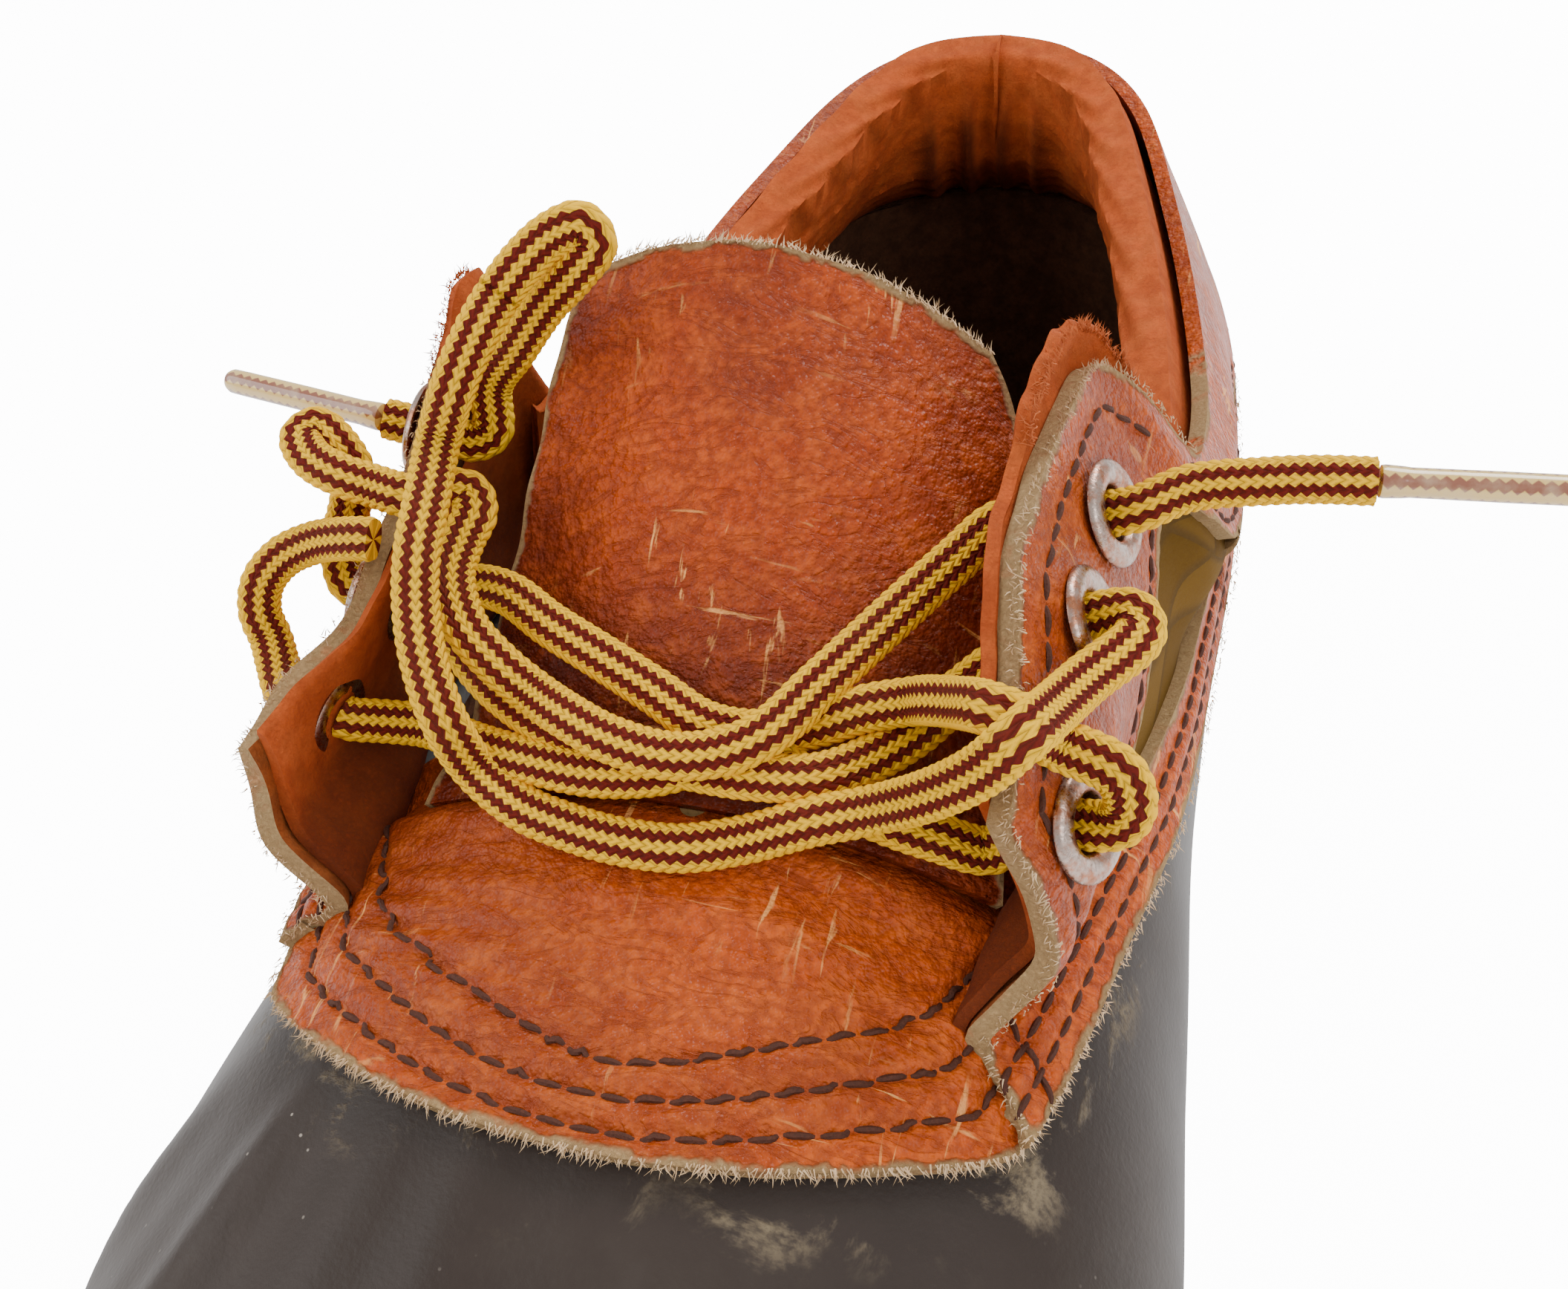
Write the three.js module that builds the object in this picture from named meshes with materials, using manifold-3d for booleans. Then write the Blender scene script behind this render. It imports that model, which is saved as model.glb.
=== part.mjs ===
// Low duck shoe: a moulded rubber bottom with a stitched leather top, three
// eyelets a side, a padded collar and a two-colour lace. A left shoe.
// Millimetres, toe towards -Y, heel towards +Y, +Z up, the sole's tread on Z = 0.
// The wearer's outer side is +X and the inner side is -X.

import * as THREE from "three";
import Module from "manifold-3d";

const wasm = await Module();
wasm.setup();

// Driving dimensions of the last and the rubber bottom
const shoeLength = 302;
const ballWidth = 110;
const instepHeight = 62.5;
const widestHeight = 25;
const toeSpring = 9;
const springRun = 76;
const rubberWall = 3;
const soleThickness = 11;
const heelRaise = 4;
const lipHeight = 9;
const lipReach = 2.2;
const grooveWidth = 4;
const grooveDepth = 3;
const archDepth = 2.4;

// Driving dimensions of the leather top
const quarterWall = 2.6;
const vampWall = 1.9;
const cornerLift = 0.8;
const frontOverlap = 11;
const sideOverlap = 3.4;
const vampFront = -55;
const vampRear = -22.5;
const edgeRun = 12;
const topHeight = 100;
const canvasWall = 1.2;
const canvasSink = 0.5;
const canvasGap = 0.7;
const tongueWall = 2;
const tongueWidth = 54;
const tongueLength = 45;
const padThickness = 10;
const padRoll = 3.6;
const insoleThickness = 3.5;
const fit = 0.4;

// Driving dimensions of the eyelets and the lace
const eyeletOuter = 11;
const eyeletHole = 5.6;
const eyeletRim = 0.9;
const laceWidth = 4.2;
const laceStep = 6.5;
const agletWidth = 3.4;

// Sections of the last from the toe (row 0) to the heel: where each lies along the length,
// how far the inner and outer sides reach from the middle, the height of the ridge, and
// the height of the leather's lower edge, as shares of the shoe's length, the ball's width,
// the instep's height and the top's height
const last = [
  { along: 0.000, inner: -0.073, outer: -0.073, ridge: 0.736, edge: 0.566 },
  { along: 0.026, inner: -0.309, outer: 0.160, ridge: 0.744, edge: 0.566 },
  { along: 0.107, inner: -0.459, outer: 0.340, ridge: 0.784, edge: 0.566 },
  { along: 0.218, inner: -0.511, outer: 0.452, ridge: 0.880, edge: 0.566 },
  { along: 0.334, inner: -0.514, outer: 0.486, ridge: 1.024, edge: 0.566 },
  { along: 0.453, inner: -0.477, outer: 0.469, ridge: 1.220, edge: 0.566 },
  { along: 0.570, inner: -0.427, outer: 0.450, ridge: 1.600, edge: 0.566 },
  { along: 0.699, inner: -0.391, outer: 0.448, ridge: 1.850, edge: 0.566 },
  { along: 0.825, inner: -0.359, outer: 0.421, ridge: 1.900, edge: 0.584 },
  { along: 0.927, inner: -0.291, outer: 0.345, ridge: 1.900, edge: 0.597 },
  { along: 0.983, inner: -0.155, outer: 0.205, ridge: 1.900, edge: 0.606 },
  { along: 1.000, inner: 0.027, outer: 0.027, ridge: 1.900, edge: 0.609 },
];
const heelStation = last.length - 1;
const fullness = { inner: 2.3, outer: 2.05 };
const middleFullness = (fullness.inner + fullness.outer) / 2;

const quarterColumns = ["at", "slant", "leave", "midIn", "midUp", "midBack", "in", "up", "back"];
const named = (columns, rows) => rows.map((row) => Object.fromEntries(row.map((value, i) => [columns[i], value])));

// Sections of the leather quarters, front to heel, one table a side, in the columns' order:
// the section, how far its top slants back, and then its heights and reaches. "leave" is the height
// where the leather leaves the rubber, then come the middle and the free edge: how far in
// from the outline, how high, and how far back of the section they lie. Heights are shares of
// the top's height, reaches in of the ball's width, and places back of the shoe's length
const outerQuarter = named(quarterColumns, [
  [4.22, 0.0232, 0.61, 0.151, 0.73, 0.0351, 0.198, 0.87, 0.0411],
  [4.45, 0.0066, 0.615, 0.133, 0.73, 0.0199, 0.196, 0.92, 0.0331],
  [4.7, 0, 0.625, 0.115, 0.76, 0.0149, 0.2, 0.955, 0.0232],
  [4.97, 0, 0.635, 0.111, 0.8, 0.0132, 0.204, 1.015, 0.0166],
  [5.31, 0, 0.64, 0.109, 0.83, 0.0099, 0.195, 1.03, 0.0099],
  [5.69, 0, 0.645, 0.093, 0.85, 0.0066, 0.175, 1.04, 0.0066],
  [5.94, 0, 0.645, 0.071, 0.83, 0.0033, 0.158, 1.03, 0.0066],
  [6.1, 0, 0.645, 0.022, 0.78, 0.0017, 0.118, 0.975, 0.0033],
  [6.31, 0, 0.645, 0.004, 0.73, 0, 0.062, 0.855, 0],
  [6.62, 0, 0.645, 0.002, 0.715, 0, 0.053, 0.81, 0],
  [7, 0, 0.645, 0.015, 0.72, 0, 0.058, 0.805, 0],
  [8, 0, 0.655, 0.044, 0.75, 0, 0.096, 0.86, 0],
  [9, 0, 0.67, 0.049, 0.775, 0, 0.105, 0.91, 0],
  [10, 0, 0.68, 0.044, 0.785, 0, 0.091, 0.935, 0],
  [11, 0, 0.685, 0.036, 0.79, 0, 0.082, 0.94, 0],
]);
const innerQuarter = named(quarterColumns, [
  [4.36, 0.0099, 0.605, 0.104, 0.705, 0.0116, 0.078, 0.795, 0.0265],
  [4.61, 0.0033, 0.61, 0.076, 0.705, 0.0083, 0.078, 0.82, 0.0199],
  [4.89, 0, 0.625, 0.062, 0.71, 0.005, 0.089, 0.835, 0.0132],
  [5.17, 0, 0.635, 0.053, 0.73, 0.0033, 0.087, 0.875, 0.0066],
  [5.49, 0, 0.64, 0.042, 0.77, 0, 0.08, 0.93, 0],
  [5.77, 0, 0.645, 0.033, 0.8, 0, 0.073, 1.01, 0],
  [5.97, 0, 0.645, 0.025, 0.81, 0, 0.067, 1.055, 0],
  [6.13, 0, 0.645, 0.02, 0.76, 0, 0.053, 0.98, 0],
  [6.33, 0, 0.645, 0.018, 0.72, 0, 0.047, 0.85, 0],
  [6.62, 0, 0.645, 0.018, 0.71, 0, 0.049, 0.81, 0],
  [7, 0, 0.645, 0.024, 0.72, 0, 0.055, 0.805, 0],
  [8, 0, 0.655, 0.042, 0.75, 0, 0.087, 0.86, 0],
  [9, 0, 0.67, 0.049, 0.775, 0, 0.105, 0.91, 0],
  [10, 0, 0.68, 0.044, 0.785, 0, 0.091, 0.935, 0],
  [11, 0, 0.685, 0.036, 0.79, 0, 0.082, 0.94, 0],
]);

// The tongue from the throat to its free end: places back along the shoe and heights as
// shares of its length, then its half width, how far its sides droop, and how far it tips to
// the outer side, as shares of its width
const tongueRows = [
  { back: 0.000, up: 0.000, half: 1.16, droop: 0.130, tip: 0.000 },
  { back: 0.200, up: 0.111, half: 1.10, droop: 0.139, tip: 0.000 },
  { back: 0.444, up: 0.333, half: 1.02, droop: 0.157, tip: 0.028 },
  { back: 0.711, up: 0.611, half: 0.98, droop: 0.167, tip: 0.065 },
  { back: 0.911, up: 0.800, half: 0.94, droop: 0.167, tip: 0.102 },
  { back: 1.000, up: 0.878, half: 0.80, droop: 0.130, tip: 0.093 },
];

// Number of steps that the curved forms are cut into
const stationSteps = 34;
const sideSteps = 7;
const wallSteps = 7;

const leather = { color: "#ad5a2c", roughness: 0.5, metalness: 0 };
const finishes = {
  rubber: { color: "#4b4440", roughness: 0.55, metalness: 0 },
  leather,
  tongue: { ...leather, color: "#9a4a24" },
  suede: { color: "#bd6534", roughness: 0.9, metalness: 0 },
  canvas: { color: "#7d5f2d", roughness: 0.95, metalness: 0 },
  insole: { color: "#4a3b24", roughness: 0.9, metalness: 0 },
  eyelet: { color: "#c8b4a4", roughness: 0.35, metalness: 0.9 },
  lace: { color: "#c39a35", roughness: 0.85, metalness: 0 },
  aglet: { color: "#b98e46", roughness: 0.2, metalness: 0 },
};

// Value of one named column at a place, by a smooth curve through the table's rows
function read(rows, key, place, name) {
  const last = rows.length - 1;
  let row = 0;
  while (row < last - 1 && rows[row + 1][key] <= place) {
    row += 1;
  }
  const x = (i) => rows[Math.min(last, Math.max(0, i))][key];
  const y = (i) => rows[Math.min(last, Math.max(0, i))][name];
  const slope = (i) => {
    const run = x(i + 1) - x(i - 1);
    return run > 0 ? (y(i + 1) - y(i - 1)) / run : 0;
  };
  const span = x(row + 1) - x(row);
  const t = Math.min(1, Math.max(0, (place - x(row)) / span));
  const a = 2 * t ** 3 - 3 * t ** 2 + 1;
  const b = t ** 3 - 2 * t ** 2 + t;
  const c = 3 * t ** 2 - 2 * t ** 3;
  const d = t ** 3 - t ** 2;
  return a * y(row) + b * span * slope(row) + c * y(row + 1) + d * span * slope(row + 1);
}

const lerp = THREE.MathUtils.lerp;
const point = (x, y, z) => new THREE.Vector3(x, y, z);
const steps = (count) => Array.from({ length: count + 1 }, (_, i) => i / count);

// The last's outline at its widest height, once round from the toe by the outer side
const lastPoint = (row, side) => point(row[side] * ballWidth, (row.along - 0.5) * shoeLength, 0);
const outline = new THREE.CatmullRomCurve3(
  [
    ...last.map((row) => lastPoint(row, "outer")),
    ...last.slice(1, -1).reverse().map((row) => lastPoint(row, "inner")),
  ],
  true,
  "catmullrom",
  0.5,
);

function outlineAt(station, side) {
  const turn = side === "outer" ? station : 2 * heelStation - station;
  return outline.getPoint((turn / (2 * heelStation)) % 1);
}

// The spine that each section rises to; at the toe and the heel it stops short of the tip
const spineReach = 60;
const spinePull = 40;
function spineAt(station) {
  const middle = outlineAt(station, "outer").add(outlineAt(station, "inner")).multiplyScalar(0.5);
  const beyond = Math.max(0, Math.abs(middle.y) - spineReach) / (shoeLength / 2 - spineReach);
  middle.y -= Math.sign(middle.y) * spinePull * beyond ** 2;
  return middle;
}

const ridgeAt = (station) => instepHeight * read(numbered, "station", station, "ridge");
const edgeBase = (station) => topHeight * read(numbered, "station", station, "edge");
const numbered = last.map((row, station) => ({ ...row, station }));

function springAt(y) {
  const run = Math.max(0, -y - (shoeLength / 2 - springRun)) / springRun;
  return toeSpring * run ** 2;
}

const floorAt = (y) => soleThickness + springAt(y) + heelRaise * THREE.MathUtils.smoothstep(y, -20, 60);

// Both sides share one fullness where they meet at the toe and the heel
function fullnessAt(station, side) {
  const away = THREE.MathUtils.smoothstep(Math.min(station, heelStation - station), 0, 2.5);
  return lerp(middleFullness, fullness[side], away);
}

// A point of the last's skin: the section's superellipse from the widest line to the ridge
function skin(station, side, rise) {
  const rim = outlineAt(station, side);
  const spine = spineAt(station);
  const power = 2 / fullnessAt(station, side);
  const angle = (rise * Math.PI) / 2;
  const reach = 1 - Math.cos(angle) ** power;
  const height = Math.sin(angle) ** power;
  const low = widestHeight + 0.5 * springAt(rim.y);
  return rim.lerp(spine, reach).setZ(lerp(low, ridgeAt(station), height));
}

function skinNormal(station, side, rise) {
  const s = Math.min(heelStation - 0.02, Math.max(0.02, station));
  const r = Math.min(0.98, Math.max(0.02, rise));
  const along = skin(s + 0.01, side, r).sub(skin(s - 0.01, side, r));
  const up = skin(s, side, r + 0.01).sub(skin(s, side, r - 0.01));
  const normal = along.cross(up).normalize();
  return side === "outer" ? normal : normal.negate();
}

function shell(station, side, rise, offset) {
  const normal = skinNormal(station, side, rise);
  const seam = 1e-3;
  if (rise > 1 - seam || station < seam || station > heelStation - seam) {
    const other = skinNormal(station, side === "outer" ? "inner" : "outer", rise);
    normal.add(other).normalize();
  }
  return skin(station, side, rise).addScaledVector(normal, offset);
}

// How far up a section a height lies, from 0 at the widest line to 1 at the ridge
function riseAt(station, side, height) {
  const low = widestHeight + 0.5 * springAt(outlineAt(station, side).y);
  const share = Math.min(1, Math.max(0, (height - low) / (ridgeAt(station) - low)));
  return (2 / Math.PI) * Math.asin(share ** (fullnessAt(station, side) / 2));
}

// Height of a boundary that sweeps over the instep at "front" and then runs along the side
function sweep(station, front, base) {
  const y = spineAt(station).y;
  const share = Math.min(1, Math.max(0, 1 - (y - front) / edgeRun)) ** 1.2;
  return base + (ridgeAt(station) - base) * share;
}

const leatherEdge = (station) => sweep(station, vampFront, edgeBase(station));
const rubberEdge = (station) => sweep(station, vampFront + frontOverlap, edgeBase(station) + sideOverlap);

function stationOf(y) {
  let low = 0;
  let high = heelStation;
  while (high - low > 1e-6) {
    const middle = (low + high) / 2;
    if (spineAt(middle).y < y) {
      low = middle;
    } else {
      high = middle;
    }
  }
  return (low + high) / 2;
}

// Closed mesh from corner points and triangles: equal corners are joined, flat faces dropped
// and all faces turned outwards
function solidFrom(corners, faces) {
  const index = new Map();
  const places = [];
  const ids = corners.map((corner) => {
    const key = corner.toArray().map((value) => Math.round(value * 2000)).join(" ");
    if (!index.has(key)) {
      index.set(key, places.length);
      places.push(corner);
    }
    return index.get(key);
  });
  const kept = faces
    .map((face) => face.map((corner) => ids[corner]))
    .filter(([a, b, c]) => a !== b && b !== c && c !== a);
  const share = ([a, b, c]) => places[a].dot(places[b].clone().cross(places[c]));
  const volume = kept.reduce((sum, face) => sum + share(face), 0);
  const turned = volume < 0 ? kept.map(([a, b, c]) => [a, c, b]) : kept;
  return new wasm.Manifold(new wasm.Mesh({
    numProp: 3,
    vertProperties: new Float32Array(places.flatMap((place) => place.toArray())),
    triVerts: new Uint32Array(turned.flat()),
  }));
}

function solidOf(geometry) {
  const positions = geometry.attributes.position;
  const corner = (_, i) => new THREE.Vector3().fromBufferAttribute(positions, i);
  const corners = Array.from({ length: positions.count }, corner);
  const order = geometry.index ? Array.from(geometry.index.array) : corners.map((_, i) => i);
  const faces = Array.from({ length: order.length / 3 }, (_, i) => order.slice(3 * i, 3 * i + 3));
  return solidFrom(corners, faces);
}

// Faces of a grid of rows; a closed grid joins its last column to its first
function gridFaces(rows, columns, first, closed) {
  const faces = [];
  for (let row = 0; row < rows - 1; row += 1) {
    for (let column = 0; column < (closed ? columns : columns - 1); column += 1) {
      const next = (column + 1) % columns;
      const a = first + row * columns + column;
      const b = first + row * columns + next;
      const c = first + (row + 1) * columns + next;
      const d = first + (row + 1) * columns + column;
      faces.push([a, b, c], [a, c, d]);
    }
  }
  return faces;
}

// A wall between two grids of the same size, closed all round its rim
function wallSolid(outside, inside) {
  const rings = outside.map((row, i) => [...row, ...inside[i].slice().reverse()]);
  const columns = rings[0].length;
  const faces = gridFaces(rings.length, columns, 0, true);
  const half = columns / 2;
  for (const [row, flip] of [[0, false], [rings.length - 1, true]]) {
    for (let column = 0; column < half - 1; column += 1) {
      const a = row * columns + column;
      const b = a + 1;
      const c = row * columns + columns - 2 - column;
      const d = c + 1;
      const quad = flip ? [[a, b, c], [a, c, d]] : [[a, c, b], [a, d, c]];
      faces.push(...quad);
    }
  }
  return solidFrom(rings.flat(), faces);
}

// Grid points moved along the grid's own normals
function offsetGrid(grid, amount) {
  const near = (list, i) => list[Math.min(list.length - 1, Math.max(0, i))];
  const at = (i, j) => near(near(grid, i), j);
  return grid.map((row, i) => row.map((place, j) => {
    const along = at(i + 1, j).clone().sub(at(i - 1, j));
    const across = at(i, j + 1).clone().sub(at(i, j - 1));
    const normal = along.cross(across).normalize();
    return place.clone().addScaledVector(normal, amount);
  }));
}

// The last's body as a closed solid, its skin moved by an offset, standing on a floor
function lastBody(offset, lowRows, floor) {
  const rings = steps(stationSteps).map((share) => {
    const station = heelStation * share;
    const half = (side) => {
      const rim = outlineAt(station, side);
      const spine = spineAt(station);
      const inward = spine.clone().sub(rim).setZ(0).normalize();
      const low = lowRows.map(([reach, height]) => {
        const foot = rim.clone().addScaledVector(inward, reach);
        return foot.setZ(height(foot.y));
      });
      const high = steps(sideSteps).map((rise) => shell(station, side, rise, offset));
      return [...low, ...high];
    };
    const inner = half("inner");
    const outer = half("outer");
    const bottom = spineAt(station);
    bottom.z = floor(bottom.y);
    return [...inner, ...outer.slice(0, -1).reverse(), bottom];
  });
  return solidFrom(rings.flat(), gridFaces(rings.length, rings[0].length, 0, true));
}

// Block with the given side outline in Y and Z, right across the shoe
function sideBlock(outlinePoints, width) {
  const shape = new THREE.Shape(outlinePoints.map(([y, z]) => new THREE.Vector2(y, z)));
  const geometry = new THREE.ExtrudeGeometry(shape, { depth: width, bevelEnabled: false });
  geometry.applyMatrix4(new THREE.Matrix4().set(0, 0, 1, -width / 2, 1, 0, 0, 0, 0, 1, 0, 0, 0, 0, 0, 1));
  return solidOf(geometry);
}

const faraway = 400;

function aboveEdge(edge, front, count) {
  const first = stationOf(front);
  const places = steps(count).map((share) => lerp(first, stationOf(shoeLength * 0.36), share));
  const line = places.map((station) => [spineAt(station).y, edge(station)]);
  const rear = line[line.length - 1];
  return sideBlock([[front - 0.01, faraway], ...line, [faraway, rear[1]], [faraway, faraway]], faraway);
}

// The rubber bottom: one moulded shell with its sole, open on top behind the vamp's front
function rubberBottom() {
  const lipIn = 3.2;
  const outside = lastBody(
    0,
    [
      [lipIn + 2.4, (y) => springAt(y)],
      [lipIn, (y) => springAt(y) + 1.6],
      [lipIn, (y) => springAt(y) + lipHeight],
      [lipIn + lipReach, (y) => springAt(y) + lipHeight + 1],
      [1.4, (y) => springAt(y) * 0.8 + 0.72 * widestHeight],
    ],
    (y) => springAt(y),
  );
  const inside = lastBody(
    -rubberWall,
    [
      [rubberWall + lipIn + 2.4, (y) => floorAt(y)],
      [rubberWall + 1.6, (y) => lerp(floorAt(y), widestHeight, 0.55)],
    ],
    (y) => floorAt(y),
  );
  const open = aboveEdge(rubberEdge, vampFront + frontOverlap, 24);
  return outside.subtract(inside).subtract(open).subtract(treadCuts());
}

// Cross grooves of the tread in the forefoot and the heel, and the hollow under the arch
function treadCuts() {
  const zigzag = 6;
  const groove = (y) => {
    const half = ballWidth * 0.7;
    const teeth = 4;
    const tooth = (share, i) => new THREE.Vector2(lerp(-half, half, share), y + (i % 2) * zigzag);
    const front = steps(teeth).map(tooth);
    const rear = front.map((place) => new THREE.Vector2(place.x, place.y + grooveWidth)).reverse();
    const shape = new THREE.Shape([...front, ...rear]);
    const geometry = new THREE.ExtrudeGeometry(shape, { depth: grooveDepth + 20, bevelEnabled: false });
    geometry.translate(0, 0, springAt(y) - 20);
    return solidOf(geometry);
  };
  const pitch = grooveWidth * 3.4;
  const rows = (from, to) => {
    const count = Math.floor(((to - from) * shoeLength) / pitch);
    return Array.from({ length: count }, (_, i) => (from - 0.5) * shoeLength + pitch * (i + 0.5));
  };
  const grooves = [...rows(0.06, 0.47), ...rows(0.7, 0.97)].map(groove);
  const archFrom = -0.02 * shoeLength;
  const archTo = 0.19 * shoeLength;
  const arch = sideBlock(
    [
      [archFrom, -faraway], [archFrom, -1], [archFrom + 3 * archDepth, archDepth],
      [archTo - archDepth, archDepth], [archTo, -1], [archTo, -faraway],
    ],
    faraway,
  );
  return grooves.reduce((all, next) => all.add(next), arch);
}

// Outer face of the leather at a section: up the rubber from the leather's lower edge to
// where it leaves it, then by the middle to the free edge
function quarterProfile(side, station) {
  const rows = side === "outer" ? outerQuarter : innerQuarter;
  const column = (name) => read(rows, "at", station, name);
  const lift = cornerLift * THREE.MathUtils.smoothstep(5 - station, 0, 0.6);
  const offset = fit + quarterWall + lift;
  const rim = outlineAt(station, side);
  const inward = spineAt(station).sub(rim).setZ(0).normalize();
  const leaveStation = stationOf(spineAt(station).y + column("slant") * shoeLength);
  const onSkin = (share) => {
    const place = station > heelStation - 2 ? station : lerp(station, leaveStation, share);
    const low = leatherEdge(station);
    const height = lerp(low, Math.max(low + 4, column("leave") * topHeight), share);
    return shell(place, side, riseAt(place, side, height), offset);
  };
  const free = (reach, up, back) => {
    const place = rim.clone().addScaledVector(inward, reach * ballWidth);
    place.y += back * shoeLength;
    return place.setZ(up * topHeight);
  };
  return [
    onSkin(0),
    onSkin(0.5),
    onSkin(1),
    free(column("midIn"), column("midUp"), column("midBack")),
    free(column("in"), column("up"), column("back")),
  ];
}

function quarterPoint(side, station, share) {
  const profile = quarterProfile(side, station);
  return new THREE.CatmullRomCurve3(profile, false, "catmullrom", 0.5).getPoint(share);
}

// The quarters run once round the shoe, from the outer front by the heel to the inner front;
// place is -1 at the outer front, 0 at the heel and 1 at the inner front
function roundTheHeel(place) {
  const side = place <= 0 ? "outer" : "inner";
  const front = side === "outer" ? outerQuarter[0].at : innerQuarter[0].at;
  return { side, station: lerp(heelStation, front, Math.abs(place)) };
}

const quarterPlace = (side, station) => {
  const front = side === "outer" ? outerQuarter[0].at : innerQuarter[0].at;
  const share = (heelStation - station) / (heelStation - front);
  return side === "outer" ? -share : share;
};

function quarterGrid(places, shares) {
  return places.map((place) => {
    const { side, station } = roundTheHeel(place);
    return shares.map((share) => quarterPoint(side, station, share));
  });
}

const quarterPlaces = [...new Set([
  ...outerQuarter.map((row) => quarterPlace("outer", row.at)),
  ...innerQuarter.map((row) => quarterPlace("inner", row.at)),
  ...[4.83, 5.5, 6.2, 7.5, 8.5, 9.5, 10.5].flatMap((at) => [
    quarterPlace("outer", at),
    quarterPlace("inner", at),
  ]),
])].sort((a, b) => a - b);

const meshes = [];
function addMesh(name, solid, finish) {
  const mesh = solid.getMesh();
  const stride = mesh.numProp;
  const positions = new Float32Array((mesh.vertProperties.length / stride) * 3);
  for (let i = 0; i < positions.length / 3; i += 1) {
    positions.set(mesh.vertProperties.subarray(i * stride, i * stride + 3), i * 3);
  }
  const geometry = new THREE.BufferGeometry();
  geometry.setAttribute("position", new THREE.BufferAttribute(positions, 3));
  geometry.setIndex(Array.from(mesh.triVerts));
  geometry.computeVertexNormals();
  const part = new THREE.Mesh(geometry, new THREE.MeshStandardMaterial(finishes[finish]));
  part.name = name;
  meshes.push(part);
}

// The vamp: from its front edge over the instep to the throat, lying on the rubber
function vampSheet() {
  const across = 7;
  const hem = 1.2;
  const first = stationOf(vampFront + 0.15);
  const end = stationOf(vampRear);
  const rows = steps(10).map((share) => {
    const station = lerp(first, end, share ** 1.6);
    const side = (name) => {
      const lift = hem * THREE.MathUtils.smoothstep(station, 4.4, 4.6);
      const low = riseAt(station, name, leatherEdge(station) + lift);
      return steps(across).map((part) => shell(station, name, lerp(low, 1, part), fit + vampWall));
    };
    const outer = side("outer");
    return [...outer, ...side("inner").slice(0, -1).reverse()];
  });
  return wallSolid(rows, offsetGrid(rows, -vampWall));
}

const quarters = quarterGrid(quarterPlaces, steps(wallSteps));
const quarterSolid = wallSolid(quarters, offsetGrid(quarters, -quarterWall));

// Canvas panels let into the quarters between the eyestay, the collar band, the heel
// counter and the strip along the rubber
const canvasLow = { front: 5.12, rear: 7.6, share: 0.49 };
const canvasHigh = { front: 6.03, rear: 6.95, frontShare: 0.83, rearShare: 0.66 };

function canvasParts(side) {
  const turn = side === "outer" ? -1 : 1;
  const window = steps(9).map((along) => steps(3).map((up) => {
    const front = lerp(canvasLow.front, canvasHigh.front, up);
    const rear = lerp(canvasLow.rear, canvasHigh.rear, up);
    const high = lerp(canvasHigh.frontShare, canvasHigh.rearShare, along);
    return quarterPoint(side, lerp(front, rear, along), lerp(canvasLow.share, high, up));
  }));
  const layer = (from, to) => wallSolid(offsetGrid(window, turn * from), offsetGrid(window, turn * to));
  const cutter = layer(-2, quarterWall + 2);
  const ways = [[1, 0], [-1, 0], [0, 1], [0, -1]];
  const inside = ways.reduce(
    (all, [back, up]) => all.intersect(cutter.translate(0, back * canvasGap, up * canvasGap)),
    cutter,
  );
  return { cutter, panel: layer(canvasSink, canvasSink + canvasWall).intersect(inside) };
}

// Eyelets: where each lies on its quarter, as a section and a share of the way up
const eyeletSpots = {
  outer: [
    { name: "eyelet_outer_low", station: 4.60, share: 0.84 },
    { name: "eyelet_outer_middle", station: 5.1, share: 0.87 },
    { name: "eyelet_outer_top", station: 5.55, share: 0.87 },
  ],
  inner: [
    { name: "eyelet_inner_low", station: 4.80, share: 0.87 },
    { name: "eyelet_inner_middle", station: 5.25, share: 0.87 },
    { name: "eyelet_inner_top", station: 5.72, share: 0.92 },
  ],
};

function eyeletSeat(side, spot) {
  const here = quarterPoint(side, spot.station, spot.share);
  const along = quarterPoint(side, spot.station + 0.02, spot.share).sub(here);
  const up = quarterPoint(side, spot.station, spot.share + 0.02).sub(here);
  const normal = along.cross(up).normalize();
  if (side === "inner") {
    normal.negate();
  }
  return { centre: here, normal };
}

function seatMatrix({ centre, normal }) {
  const turn = new THREE.Quaternion().setFromUnitVectors(point(0, 1, 0), normal);
  return new THREE.Matrix4().compose(centre, turn, point(1, 1, 1));
}

// A rolled ring: flange outside the leather, barrel through it and a small flare inside
function eyelet(seat) {
  const hole = eyeletHole / 2;
  const barrel = hole + 0.6;
  const outer = eyeletOuter / 2;
  const face = fit + 0.1;
  const back = -quarterWall - fit;
  const profile = [
    [hole, back - 0.9], [barrel + 0.9, back - 0.9], [barrel, back], [barrel, face],
    [outer, face], [outer - 0.6, face + eyeletRim],
    [hole + 0.7, face + eyeletRim + 0.2], [hole, face + 0.3],
    [hole, back - 0.9],
  ].map(([radius, height]) => new THREE.Vector2(radius, height));
  const geometry = new THREE.LatheGeometry(profile, 10);
  geometry.applyMatrix4(seatMatrix(seat));
  return solidOf(geometry);
}

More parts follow.
